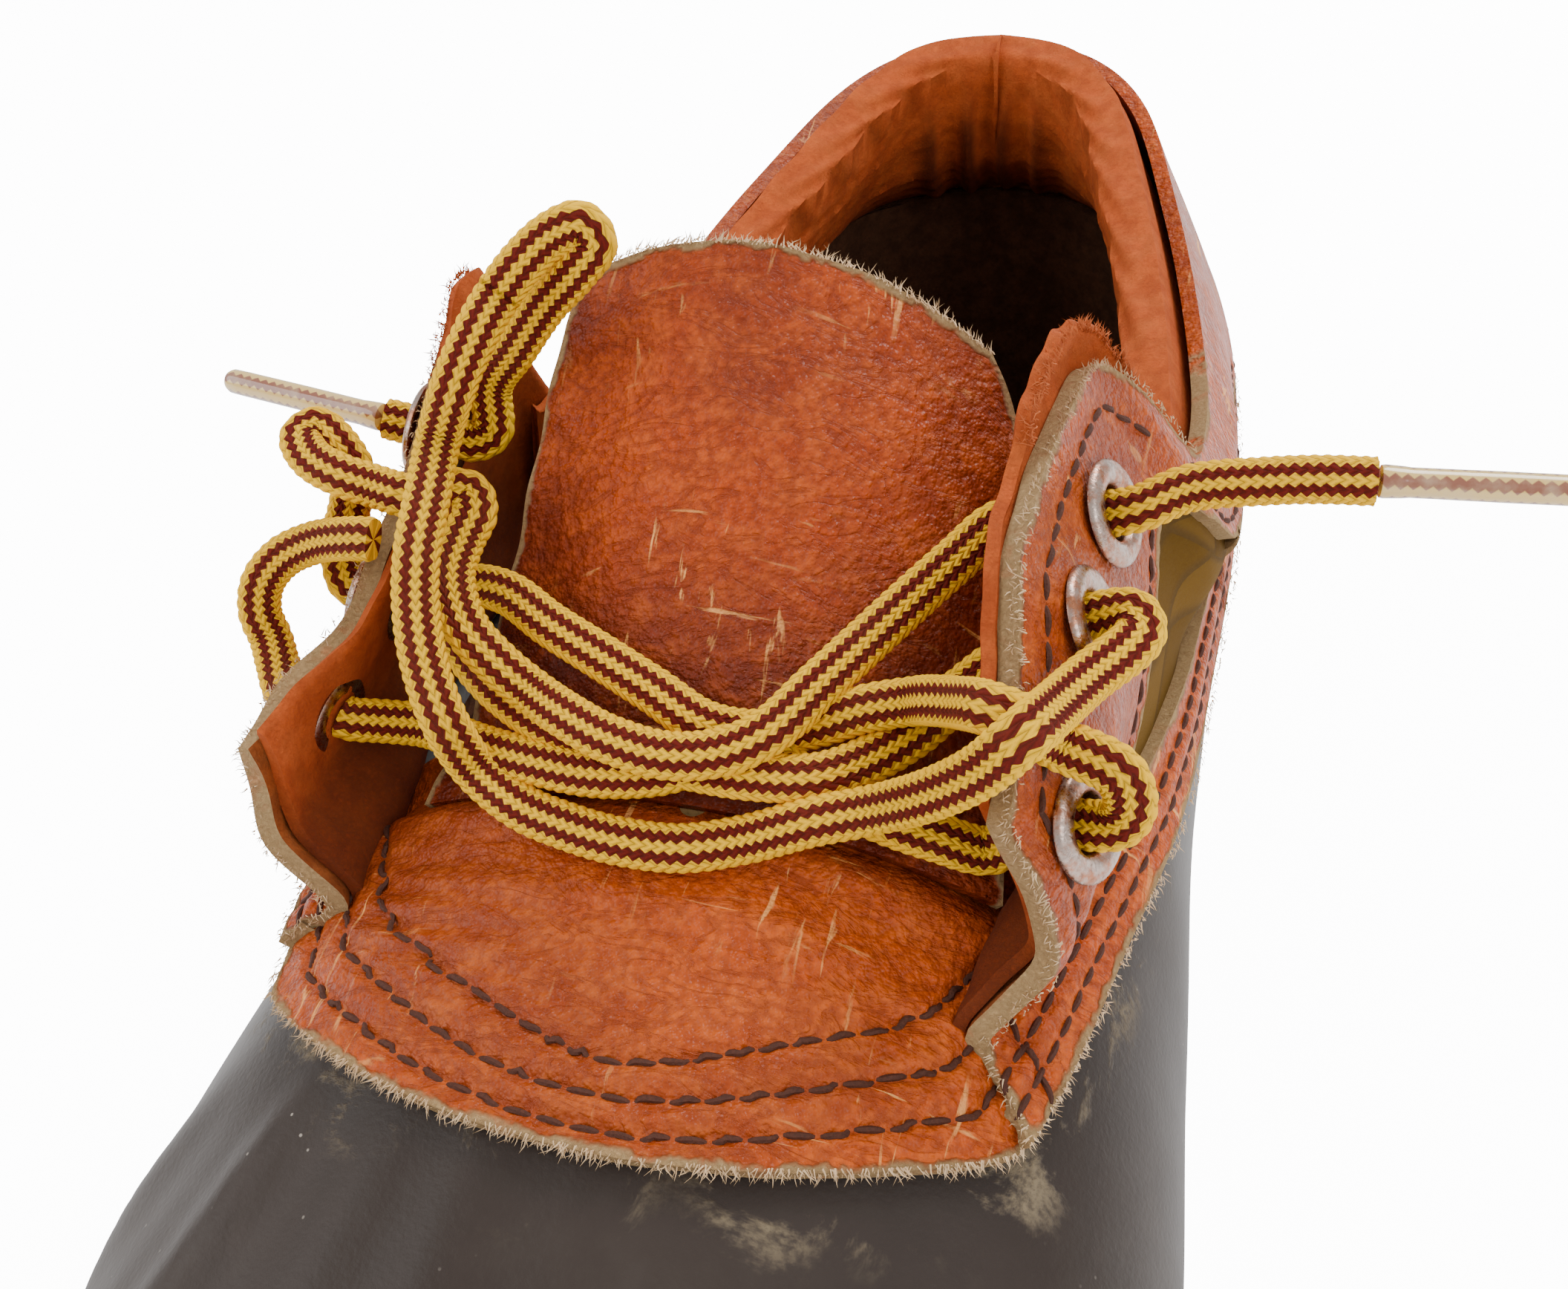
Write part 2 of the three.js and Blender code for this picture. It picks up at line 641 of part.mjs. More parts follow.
// The hole for an eyelet's barrel, with flat seats cut for its flange and its flare
function eyeletHoleCut(seat) {
  const barrel = eyeletHole / 2 + 0.6 + fit;
  const deep = 8;
  const seats = [
    { radius: barrel, from: -deep, to: deep },
    { radius: eyeletOuter / 2 + fit, from: fit / 2, to: deep },
    { radius: barrel + 1, from: -deep, to: -quarterWall - fit / 2 },
  ];
  return seats.map(({ radius, from, to }) => {
    const geometry = new THREE.CylinderGeometry(radius, radius, to - from, 12);
    geometry.translate(0, (from + to) / 2, 0);
    geometry.applyMatrix4(seatMatrix(seat));
    return solidOf(geometry);
  }).reduce((all, next) => all.add(next));
}

// The padded collar lines the quarters' top edge from flap to flap and rolls just over it
const collarFrom = 6.2;
function collar() {
  const firstColumn = 3;
  const lining = offsetGrid(quarters, -quarterWall - fit);
  const inward = offsetGrid(quarters, -quarterWall - fit - 1);
  const thickness = [0.12, 0.65, 1, 0.95, 0.8].map((share) => share * padThickness);
  const outside = [];
  const inside = [];
  quarterPlaces.forEach((place, row) => {
    const { station } = roundTheHeel(place);
    if (station < collarFrom - 0.01) {
      return;
    }
    const share = lerp(0.35, 1, THREE.MathUtils.smoothstep(station, collarFrom, collarFrom + 0.8));
    const faceOut = lining[row].slice(firstColumn);
    const way = inward[row].slice(firstColumn).map((place_, i) => place_.clone().sub(faceOut[i]));
    const faceIn = faceOut.map((place_, i) => place_.clone().addScaledVector(way[i], thickness[i] * share));
    const top = faceOut[faceOut.length - 1];
    const across = way[way.length - 1].clone().setZ(0).normalize();
    const rise = (height) => top.clone().setZ(top.z + height);
    const roll = (reach, height) => rise(height).addScaledVector(across, reach * share);
    outside.push([...faceOut, roll(0.1 * padThickness, 0.75 * padRoll)]);
    const crown = roll(0.45 * padThickness, padRoll);
    inside.push([...faceIn.slice(0, -1), roll(thickness[4], 0.14 * padRoll), crown]);
  });
  return wallSolid(outside, inside);
}

function insole() {
  const reach = rubberWall + 3.2 + 2.4 + 2 * fit;
  const layer = (station, lift) => {
    const foot = (side) => {
      const rim = outlineAt(station, side);
      const place = rim.clone().addScaledVector(spineAt(station).sub(rim).setZ(0).normalize(), reach);
      return place.setZ(floorAt(place.y) + lift);
    };
    const middle = spineAt(station);
    middle.z = floorAt(middle.y) + lift;
    return [foot("outer"), middle, foot("inner")];
  };
  const rings = steps(stationSteps / 2).map((share) => {
    const station = heelStation * share;
    return [...layer(station, fit), ...layer(station, fit + insoleThickness).reverse()];
  });
  return solidFrom(rings.flat(), gridFaces(rings.length, rings[0].length, 0, true));
}

// The tongue rises from the vamp's rear edge, a curved sheet that droops at its sides
function tongue() {
  const start = stationOf(vampRear);
  const base = shell(start, "outer", 1, fit + vampWall);
  const rows = steps(12).map((along) => {
    const place = along * (tongueRows.length - 1);
    const column = (name) => read(tongueNumbered, "row", place, name);
    const half = (tongueWidth / 2) * column("half");
    return steps(8).map((across) => {
      const share = 2 * across - 1;
      const drop = tongueWidth * (column("droop") * share ** 2 + (column("tip") * (share + 0.4)) / 1.4);
      const back = 2 * fit + tongueLength * column("back");
      return point(base.x + half * share, base.y + back, base.z + tongueLength * column("up") - drop);
    });
  });
  return wallSolid(rows, offsetGrid(rows, -tongueWall));
}
const tongueNumbered = tongueRows.map((row, index) => ({ ...row, row: index }));

// The lace's runs, as points along each one's middle, in shares of the ball's width, the
// shoe's length and the top's height. The crossings over the tongue are one
// joined solid; the ends and loops in the air are cords of their own
const crossings = {
  // top of the hairpin, over the outer flap, to the middle outer eyelet
  overFlap: [
    [-0.258, 0.0288, 1.120], [-0.270, 0.0172, 1.095], [-0.284, 0.0043, 1.055],
    [-0.304, -0.0010, 1.000], [-0.290, -0.0245, 0.975], [-0.281, -0.0424, 0.950],
    [-0.273, -0.0553, 0.915], [-0.255, -0.0689, 0.875], [-0.230, -0.0798, 0.830],
    [-0.212, -0.0798, 0.767], [-0.161, -0.0874, 0.748], [-0.111, -0.0924, 0.748],
    [-0.057, -0.0957, 0.751], [0.004, -0.0950, 0.754], [0.055, -0.0884, 0.758],
    [0.114, -0.0851, 0.787], [0.171, -0.0815, 0.808], [0.226, -0.0901, 0.870], [0.266, -0.0954, 0.925],
    [0.293, -0.0950, 0.967], [0.312, -0.0712, 0.941], [0.329, -0.0543, 0.929], [0.365, -0.0311, 0.931],
    [0.355, -0.0225, 0.932],
  ],
  // out of the middle outer eyelet, over the tongue and up between the flap and the tongue
  lowRun: [
    [0.282, -0.0209, 0.889], [0.249, -0.0272, 0.864], [0.215, -0.0328, 0.830], [0.185, -0.0467, 0.812],
    [0.150, -0.0603, 0.805], [0.112, -0.0722, 0.808], [0.055, -0.0755, 0.806],
    [-0.011, -0.0732, 0.799], [-0.070, -0.0709, 0.799], [-0.136, -0.0662, 0.797],
    [-0.196, -0.0563, 0.798], [-0.245, -0.0450, 0.805], [-0.277, -0.0361, 0.828],
    [-0.301, -0.0275, 0.862], [-0.315, -0.0252, 0.889], [-0.331, -0.0262, 0.909],
  ],
  // from the low inner eyelet across the tongue to the low outer eyelet
  bar: [
    [-0.373, -0.0619, 0.751], [-0.340, -0.0589, 0.746], [-0.296, -0.0576, 0.745],
    [-0.227, -0.0682, 0.763], [-0.155, -0.0755, 0.776], [-0.092, -0.0785, 0.783],
    [-0.036, -0.0765, 0.792], [0.009, -0.0709, 0.803], [0.050, -0.0669, 0.807],
    [0.110, -0.0709, 0.792], [0.165, -0.0742, 0.774], [0.217, -0.0738, 0.757], [0.261, -0.0709, 0.740],
    [0.287, -0.0705, 0.768], [0.304, -0.0699, 0.787],
  ],
  // from the low outer eyelet over its flap and back to the middle inner eyelet
  backRun: [
    [0.367, -0.0772, 0.825], [0.376, -0.0775, 0.854], [0.364, -0.0762, 0.886], [0.314, -0.0758, 0.910],
    [0.294, -0.0834, 0.949], [0.265, -0.0821, 0.956], [0.232, -0.0672, 0.916], [0.208, -0.0586, 0.890],
    [0.184, -0.0490, 0.858], [0.141, -0.0497, 0.841], [0.100, -0.0543, 0.825], [0.049, -0.0603, 0.818],
    [0.001, -0.0606, 0.821], [-0.055, -0.0526, 0.833], [-0.114, -0.0437, 0.843],
    [-0.175, -0.0344, 0.852], [-0.229, -0.0238, 0.858], [-0.287, -0.0152, 0.839],
    [-0.320, -0.0142, 0.816], [-0.342, -0.0139, 0.802],
  ],
  // from the second loop round over the tongue to the top outer eyelet
  bow: [
    [-0.313, -0.0083, 0.940], [-0.296, -0.0056, 0.945], [-0.280, -0.0040, 0.940],
    [-0.268, -0.0103, 0.930], [-0.271, -0.0215, 0.915], [-0.265, -0.0358, 0.900],
    [-0.237, -0.0500, 0.875], [-0.203, -0.0553, 0.845], [-0.170, -0.0579, 0.821],
    [-0.117, -0.0692, 0.826], [-0.072, -0.0762, 0.828], [-0.015, -0.0795, 0.829],
    [0.033, -0.0758, 0.835], [0.067, -0.0679, 0.846], [0.098, -0.0497, 0.861], [0.129, -0.0308, 0.875],
    [0.163, -0.0136, 0.896], [0.195, 0.0013, 0.916], [0.225, 0.0162, 0.931], [0.258, 0.0238, 0.928],
    [0.282, 0.0272, 0.918],
  ],
};
const cords = {
  // hairpin over the tongue's corner and out of the top inner eyelet
  lace_end_inner: [
    [-0.258, 0.0288, 1.120], [-0.235, 0.0364, 1.150], [-0.209, 0.0434, 1.172], [-0.183, 0.0467, 1.180],
    [-0.172, 0.0467, 1.162], [-0.192, 0.0447, 1.133], [-0.231, 0.0440, 1.090], [-0.271, 0.0427, 1.035],
    [-0.311, 0.0454, 0.980], [-0.315, 0.0411, 0.928], [-0.333, 0.0381, 0.918], [-0.351, 0.0371, 0.922],
    [-0.380, 0.0364, 0.930], [-0.409, 0.0358, 0.938], [-0.426, 0.0354, 0.942],
  ],
  // from the middle inner eyelet round in the air
  lace_loop_upper: [
    [-0.371, -0.0136, 0.796], [-0.402, -0.0142, 0.806], [-0.429, -0.0139, 0.817],
    [-0.442, -0.0053, 0.848], [-0.435, 0.0026, 0.886], [-0.427, 0.0073, 0.920],
    [-0.446, 0.0119, 0.950], [-0.469, 0.0142, 0.965], [-0.476, 0.0073, 0.965],
    [-0.452, -0.0026, 0.960], [-0.414, -0.0083, 0.955], [-0.375, -0.0086, 0.945],
    [-0.334, -0.0119, 0.945], [-0.313, -0.0083, 0.940],
  ],
  // round in the air to the low inner eyelet
  lace_loop_lower: [
    [-0.331, -0.0262, 0.909], [-0.354, -0.0275, 0.918], [-0.385, -0.0262, 0.912],
    [-0.443, -0.0209, 0.885], [-0.479, -0.0235, 0.865], [-0.499, -0.0291, 0.840],
    [-0.502, -0.0344, 0.810], [-0.490, -0.0387, 0.785], [-0.469, -0.0483, 0.775],
    [-0.442, -0.0593, 0.769], [-0.415, -0.0603, 0.762], [-0.384, -0.0616, 0.754],
  ],
  // out of the top outer eyelet
  lace_end_outer: [
    [0.292, 0.0268, 0.922], [0.321, 0.0252, 0.938], [0.349, 0.0242, 0.952], [0.387, 0.0305, 0.967],
    [0.449, 0.0344, 0.976], [0.498, 0.0368, 0.980], [0.543, 0.0387, 0.980],
  ],
};
const aglets = {
  aglet_inner: [[-0.430, 0.0354, 0.943], [-0.621, 0.0421, 0.960]],
  aglet_outer: [[0.546, 0.0391, 0.980], [0.744, 0.0457, 0.980]],
};

// How far each cord's start and end stop short of the crossings that they carry on from
const cordGaps = {
  lace_end_inner: [1.3, 0],
  lace_loop_upper: [0, 1.3],
  lace_loop_lower: [2.2, 0],
  lace_end_outer: [0.6, 0],
};

// A round tube along a smooth curve through the points, cut short at either end
function tube(places, width, stride, [startGap, endGap]) {
  const sides = 8;
  const place = ([across, back, up]) => point(across * ballWidth, back * shoeLength, up * topHeight);
  const scaled = places.map(place);
  const whole = new THREE.CatmullRomCurve3(scaled, false, "centripetal");
  const start = startGap / whole.getLength();
  const end = 1 - endGap / whole.getLength();
  const count = Math.max(1, Math.round(whole.getLength() / stride));
  const spaced = steps(count).map((part) => whole.getPointAt(lerp(start, end, part)));
  const path = new THREE.CatmullRomCurve3(spaced, false, "centripetal");
  const ring = Array.from({ length: sides }, (_, i) => {
    const angle = (2 * Math.PI * (i + 0.5)) / sides;
    return new THREE.Vector2(Math.cos(angle), Math.sin(angle)).multiplyScalar(width / 2);
  });
  const shape = new THREE.Shape(ring);
  const how = { steps: count, bevelEnabled: false, extrudePath: path };
  return solidOf(new THREE.ExtrudeGeometry(shape, how));
}

let upper = quarterSolid.add(vampSheet());
const canvases = {};
for (const side of ["outer", "inner"]) {
  const { cutter, panel } = canvasParts(side);
  upper = upper.subtract(cutter);
  canvases[side] = panel;
  for (const spot of eyeletSpots[side]) {
    upper = upper.subtract(eyeletHoleCut(eyeletSeat(side, spot)));
  }
}

addMesh("rubber_bottom", rubberBottom(), "rubber");
addMesh("upper", upper, "leather");
addMesh("tongue", tongue(), "tongue");
addMesh("collar_pad", collar(), "suede");
addMesh("canvas_outer", canvases.outer, "canvas");
addMesh("canvas_inner", canvases.inner, "canvas");
addMesh("insole", insole(), "insole");
for (const side of ["outer", "inner"]) {
  for (const spot of eyeletSpots[side]) {
    addMesh(spot.name, eyelet(eyeletSeat(side, spot)), "eyelet");
  }
}

const joined = Object.values(crossings).map((run) => tube(run, laceWidth, laceStep, [0, 0]));
addMesh("lace_crossings", joined.reduce((all, next) => all.add(next)), "lace");
for (const [name, run] of Object.entries(cords)) {
  addMesh(name, tube(run, laceWidth, laceStep, cordGaps[name]), "lace");
}
for (const [name, run] of Object.entries(aglets)) {
  addMesh(name, tube(run, agletWidth, shoeLength, [fit, 0]), "aglet");
}

// The shoe without its lace stands centred on the origin
const bounds = new THREE.Box3();
meshes.filter((mesh) => !/^(lace|aglet)/.test(mesh.name)).forEach((mesh) => bounds.expandByObject(mesh));
const centre = bounds.getCenter(point(0, 0, 0)).setZ(bounds.min.z);
meshes.forEach((mesh) => mesh.geometry.translate(-centre.x, -centre.y, -centre.z));

const duckShoe = new THREE.Group();
duckShoe.name = "duck_shoe";
duckShoe.add(...meshes);
export default duckShoe;
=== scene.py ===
import math

import bpy
import numpy as np
from mathutils import Matrix, Vector
from mathutils.bvhtree import BVHTree


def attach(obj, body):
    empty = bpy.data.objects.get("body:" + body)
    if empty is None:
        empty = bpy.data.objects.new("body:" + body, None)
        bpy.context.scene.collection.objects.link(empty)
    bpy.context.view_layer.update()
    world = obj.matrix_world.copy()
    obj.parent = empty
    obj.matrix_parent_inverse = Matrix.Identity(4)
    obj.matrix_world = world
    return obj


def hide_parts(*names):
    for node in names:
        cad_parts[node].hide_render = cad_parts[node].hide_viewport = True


bl_info = {
    "name": "Low duck shoe",
    "version": (1, 0, 0),
    "blender": (4, 5, 0),
    "location": "View3D > Sidebar > Duck shoe",
    "description": "Builds the looks of a low duck shoe round its packed solids",
    "category": "Add Mesh",
}

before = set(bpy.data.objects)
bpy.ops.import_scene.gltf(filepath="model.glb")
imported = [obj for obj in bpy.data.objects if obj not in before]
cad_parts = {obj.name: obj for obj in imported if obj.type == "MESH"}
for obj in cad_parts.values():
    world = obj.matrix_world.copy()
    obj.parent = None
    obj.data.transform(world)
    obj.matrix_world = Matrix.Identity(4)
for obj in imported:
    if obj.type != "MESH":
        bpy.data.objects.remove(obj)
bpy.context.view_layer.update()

MM = 0.001
# The solids' file is centred on the shoe, so its numbers move by this much, in mm
SHIFT = np.array((1.77, -0.30, 0.0))

# Sizes of the last and the bottom, in mm, as in the solids' source
SHOE_LENGTH = 302.0
BALL_WIDTH = 110.0
INSTEP_HEIGHT = 62.5
WIDEST_HEIGHT = 25.0
TOE_SPRING = 9.0
SPRING_RUN = 76.0
RUBBER_WALL = 3.0
LIP_HEIGHT = 9.0
TOP_HEIGHT = 100.0
QUARTER_WALL = 2.6
VAMP_WALL = 1.9
VAMP_FRONT = -55.0
VAMP_REAR = -22.5
FRONT_OVERLAP = 11.0
SIDE_OVERLAP = 3.4
EDGE_RUN = 12.0
TONGUE_LENGTH = 45.0
TONGUE_WIDTH = 54.0
FIT = 0.4

# Last sections: place along the length, inner and outer reach, ridge and leather edge
LAST = np.array([
    (0.000, -0.073, -0.073, 0.736, 0.566), (0.026, -0.309, 0.160, 0.744, 0.566),
    (0.107, -0.459, 0.340, 0.784, 0.566), (0.218, -0.511, 0.452, 0.880, 0.566),
    (0.334, -0.514, 0.486, 1.024, 0.566), (0.453, -0.477, 0.469, 1.220, 0.566),
    (0.570, -0.427, 0.450, 1.600, 0.566), (0.699, -0.391, 0.448, 1.850, 0.566),
    (0.825, -0.359, 0.421, 1.900, 0.584), (0.927, -0.291, 0.345, 1.900, 0.597),
    (0.983, -0.155, 0.205, 1.900, 0.606), (1.000, 0.027, 0.027, 1.900, 0.609),
])
HEEL = len(LAST) - 1

# Quarter sections: at, slant, leave, midIn, midUp, midBack, in, up, back
OUTER_QUARTER = np.array([
    (4.22, 0.0232, 0.61, 0.151, 0.73, 0.0351, 0.198, 0.87, 0.0411),
    (4.45, 0.0066, 0.615, 0.133, 0.73, 0.0199, 0.196, 0.92, 0.0331),
    (4.7, 0, 0.625, 0.115, 0.76, 0.0149, 0.2, 0.955, 0.0232),
    (4.97, 0, 0.635, 0.111, 0.8, 0.0132, 0.204, 1.015, 0.0166),
    (5.31, 0, 0.64, 0.109, 0.83, 0.0099, 0.195, 1.03, 0.0099),
    (5.69, 0, 0.645, 0.093, 0.85, 0.0066, 0.175, 1.04, 0.0066),
    (5.94, 0, 0.645, 0.071, 0.83, 0.0033, 0.158, 1.03, 0.0066),
    (6.1, 0, 0.645, 0.022, 0.78, 0.0017, 0.118, 0.975, 0.0033),
    (6.31, 0, 0.645, 0.004, 0.73, 0, 0.062, 0.855, 0),
    (6.62, 0, 0.645, 0.002, 0.715, 0, 0.053, 0.81, 0),
    (7, 0, 0.645, 0.015, 0.72, 0, 0.058, 0.805, 0),
    (8, 0, 0.655, 0.044, 0.75, 0, 0.096, 0.86, 0),
    (9, 0, 0.67, 0.049, 0.775, 0, 0.105, 0.91, 0),
    (10, 0, 0.68, 0.044, 0.785, 0, 0.091, 0.935, 0),
    (11, 0, 0.685, 0.036, 0.79, 0, 0.082, 0.94, 0),
])
INNER_QUARTER = np.array([
    (4.36, 0.0099, 0.605, 0.104, 0.705, 0.0116, 0.078, 0.795, 0.0265),
    (4.61, 0.0033, 0.61, 0.076, 0.705, 0.0083, 0.078, 0.82, 0.0199),
    (4.89, 0, 0.625, 0.062, 0.71, 0.005, 0.089, 0.835, 0.0132),
    (5.17, 0, 0.635, 0.053, 0.73, 0.0033, 0.087, 0.875, 0.0066),
    (5.49, 0, 0.64, 0.042, 0.77, 0, 0.08, 0.93, 0),
    (5.77, 0, 0.645, 0.033, 0.8, 0, 0.073, 1.01, 0),
    (5.97, 0, 0.645, 0.025, 0.81, 0, 0.067, 1.055, 0),
    (6.13, 0, 0.645, 0.02, 0.76, 0, 0.053, 0.98, 0),
    (6.33, 0, 0.645, 0.018, 0.72, 0, 0.047, 0.85, 0),
    (6.62, 0, 0.645, 0.018, 0.71, 0, 0.049, 0.81, 0),
    (7, 0, 0.645, 0.024, 0.72, 0, 0.055, 0.805, 0),
    (8, 0, 0.655, 0.042, 0.75, 0, 0.087, 0.86, 0),
    (9, 0, 0.67, 0.049, 0.775, 0, 0.105, 0.91, 0),
    (10, 0, 0.68, 0.044, 0.785, 0, 0.091, 0.935, 0),
    (11, 0, 0.685, 0.036, 0.79, 0, 0.082, 0.94, 0),
])
# Tongue rows: back, up, half, droop, tip
TONGUE_ROWS = np.array([
    (0.000, 0.000, 1.16, 0.130, 0.000),
    (0.200, 0.111, 1.10, 0.139, 0.000),
    (0.444, 0.333, 1.02, 0.157, 0.028),
    (0.711, 0.611, 0.98, 0.167, 0.065),
    (0.911, 0.800, 0.94, 0.167, 0.102),
    (1.000, 0.878, 0.80, 0.130, 0.093),
])
EYELETS = {
    "eyelet_outer_low": (1, 4.60, 0.84),
    "eyelet_outer_middle": (1, 5.10, 0.87),
    "eyelet_outer_top": (1, 5.55, 0.87),
    "eyelet_inner_low": (-1, 4.80, 0.87),
    "eyelet_inner_middle": (-1, 5.25, 0.87),
    "eyelet_inner_top": (-1, 5.72, 0.92),
}
# Runs of the lace over the shoe and through the air, as shares of width, length, height
CROSSINGS = {
    "overFlap": (
        (-0.258, 0.0288, 1.120), (-0.270, 0.0172, 1.095), (-0.284, 0.0043, 1.055),
        (-0.304, -0.0010, 1.000), (-0.290, -0.0245, 0.975), (-0.281, -0.0424, 0.950),
        (-0.273, -0.0553, 0.915), (-0.255, -0.0689, 0.875), (-0.230, -0.0798, 0.830),
        (-0.212, -0.0798, 0.767), (-0.161, -0.0874, 0.748), (-0.111, -0.0924, 0.748),
        (-0.057, -0.0957, 0.751), (0.004, -0.0950, 0.754), (0.055, -0.0884, 0.758),
        (0.114, -0.0851, 0.787), (0.171, -0.0815, 0.808), (0.226, -0.0901, 0.870),
        (0.266, -0.0954, 0.925), (0.293, -0.0950, 0.967), (0.312, -0.0712, 0.941),
        (0.329, -0.0543, 0.929), (0.365, -0.0311, 0.931), (0.355, -0.0225, 0.932),
    ),
    "lowRun": (
        (0.282, -0.0209, 0.889), (0.249, -0.0272, 0.864), (0.215, -0.0328, 0.830),
        (0.185, -0.0467, 0.812), (0.150, -0.0603, 0.805), (0.112, -0.0722, 0.808),
        (0.055, -0.0755, 0.806), (-0.011, -0.0732, 0.799), (-0.070, -0.0709, 0.799),
        (-0.136, -0.0662, 0.797), (-0.196, -0.0563, 0.798), (-0.245, -0.0450, 0.805),
        (-0.277, -0.0361, 0.828), (-0.301, -0.0275, 0.862), (-0.315, -0.0252, 0.889),
        (-0.331, -0.0262, 0.909),
    ),
    "bar": (
        (-0.373, -0.0619, 0.751), (-0.340, -0.0589, 0.746), (-0.296, -0.0576, 0.745),
        (-0.227, -0.0682, 0.763), (-0.155, -0.0755, 0.776), (-0.092, -0.0785, 0.783),
        (-0.036, -0.0765, 0.792), (0.009, -0.0709, 0.803), (0.050, -0.0669, 0.807),
        (0.110, -0.0709, 0.792), (0.165, -0.0742, 0.774), (0.217, -0.0738, 0.757),
        (0.261, -0.0709, 0.740), (0.287, -0.0705, 0.768), (0.304, -0.0699, 0.787),
    ),
    "backRun": (
        (0.367, -0.0772, 0.825), (0.376, -0.0775, 0.854), (0.364, -0.0762, 0.886),
        (0.314, -0.0758, 0.910), (0.294, -0.0834, 0.949), (0.265, -0.0821, 0.956),
        (0.232, -0.0672, 0.916), (0.208, -0.0586, 0.890), (0.184, -0.0490, 0.858),
        (0.141, -0.0497, 0.841), (0.100, -0.0543, 0.825), (0.049, -0.0603, 0.818),
        (0.001, -0.0606, 0.821), (-0.055, -0.0526, 0.833), (-0.114, -0.0437, 0.843),
        (-0.175, -0.0344, 0.852), (-0.229, -0.0238, 0.858), (-0.287, -0.0152, 0.839),
        (-0.320, -0.0142, 0.816), (-0.342, -0.0139, 0.802),
    ),
    "bow": (
        (-0.313, -0.0083, 0.940), (-0.296, -0.0056, 0.945), (-0.280, -0.0040, 0.940),
        (-0.268, -0.0103, 0.930), (-0.271, -0.0215, 0.915), (-0.265, -0.0358, 0.900),
        (-0.237, -0.0500, 0.875), (-0.203, -0.0553, 0.845), (-0.170, -0.0579, 0.821),
        (-0.117, -0.0692, 0.826), (-0.072, -0.0762, 0.828), (-0.015, -0.0795, 0.829),
        (0.033, -0.0758, 0.835), (0.067, -0.0679, 0.846), (0.098, -0.0497, 0.861),
        (0.129, -0.0308, 0.875), (0.163, -0.0136, 0.896), (0.195, 0.0013, 0.916), (0.225, 0.0162, 0.931),
        (0.258, 0.0238, 0.928), (0.282, 0.0272, 0.918),
    ),
}
CORDS = {
    "lace_end_inner": (
        (-0.258, 0.0288, 1.120), (-0.235, 0.0364, 1.150), (-0.209, 0.0434, 1.172),
        (-0.183, 0.0467, 1.180), (-0.172, 0.0467, 1.162), (-0.192, 0.0447, 1.133),
        (-0.231, 0.0440, 1.090), (-0.271, 0.0427, 1.035), (-0.311, 0.0454, 0.980),
        (-0.315, 0.0411, 0.928), (-0.333, 0.0381, 0.918), (-0.351, 0.0371, 0.922),
        (-0.380, 0.0364, 0.930), (-0.409, 0.0358, 0.938), (-0.426, 0.0354, 0.942),
    ),
    "lace_loop_upper": (
        (-0.371, -0.0136, 0.796), (-0.402, -0.0142, 0.806), (-0.429, -0.0139, 0.817),
        (-0.442, -0.0053, 0.848), (-0.435, 0.0026, 0.886), (-0.427, 0.0073, 0.920),
        (-0.446, 0.0119, 0.950), (-0.469, 0.0142, 0.965), (-0.476, 0.0073, 0.965),
        (-0.452, -0.0026, 0.960), (-0.414, -0.0083, 0.955), (-0.375, -0.0086, 0.945),
        (-0.334, -0.0119, 0.945), (-0.313, -0.0083, 0.940),
    ),
    "lace_loop_lower": (
        (-0.331, -0.0262, 0.909), (-0.354, -0.0275, 0.918), (-0.385, -0.0262, 0.912),
        (-0.443, -0.0209, 0.885), (-0.479, -0.0235, 0.865), (-0.499, -0.0291, 0.840),
        (-0.502, -0.0344, 0.810), (-0.490, -0.0387, 0.785), (-0.469, -0.0483, 0.775),
        (-0.442, -0.0593, 0.769), (-0.415, -0.0603, 0.762), (-0.384, -0.0616, 0.754),
    ),
    "lace_end_outer": (
        (0.292, 0.0268, 0.922), (0.321, 0.0252, 0.938), (0.349, 0.0242, 0.952), (0.387, 0.0305, 0.967),
        (0.449, 0.0344, 0.976), (0.498, 0.0368, 0.980), (0.543, 0.0387, 0.980),
    ),
}
AGLETS = {
    "aglet_inner": ((-0.430, 0.0354, 0.943), (-0.621, 0.0421, 0.960)),
    "aglet_outer": ((0.546, 0.0391, 0.980), (0.744, 0.0457, 0.980)),
}


# The last's surface, worked out for whole grids of places at once
def run_length(line):
    """How far along a line each of its places is, from 0."""
    return np.concatenate([[0], np.cumsum(np.linalg.norm(np.diff(line, axis=0), axis=1))])


def along_run(at, length, line):
    """Places of a line at given lengths along it."""
    return np.column_stack([np.interp(at, length, line[:, i]) for i in range(3)])


def read(rows, place, column):
    """Value of a column at a place in the first column, by a smooth curve through the rows."""
    x = rows[:, 0]
    y = rows[:, column]
    slope = np.empty(len(x))
    slope[1:-1] = (y[2:] - y[:-2]) / (x[2:] - x[:-2])
    slope[0] = (y[1] - y[0]) / (x[1] - x[0])
    slope[-1] = (y[-1] - y[-2]) / (x[-1] - x[-2])
    place = np.asarray(place, float)
    row = np.clip(np.searchsorted(x, place, side="right") - 1, 0, len(x) - 2)
    span = x[row + 1] - x[row]
    t = np.clip((place - x[row]) / span, 0, 1)
    return (
        (2 * t**3 - 3 * t**2 + 1) * y[row]
        + (t**3 - 2 * t**2 + t) * span * slope[row]
        + (3 * t**2 - 2 * t**3) * y[row + 1]
        + (t**3 - t**2) * span * slope[row + 1]
    )


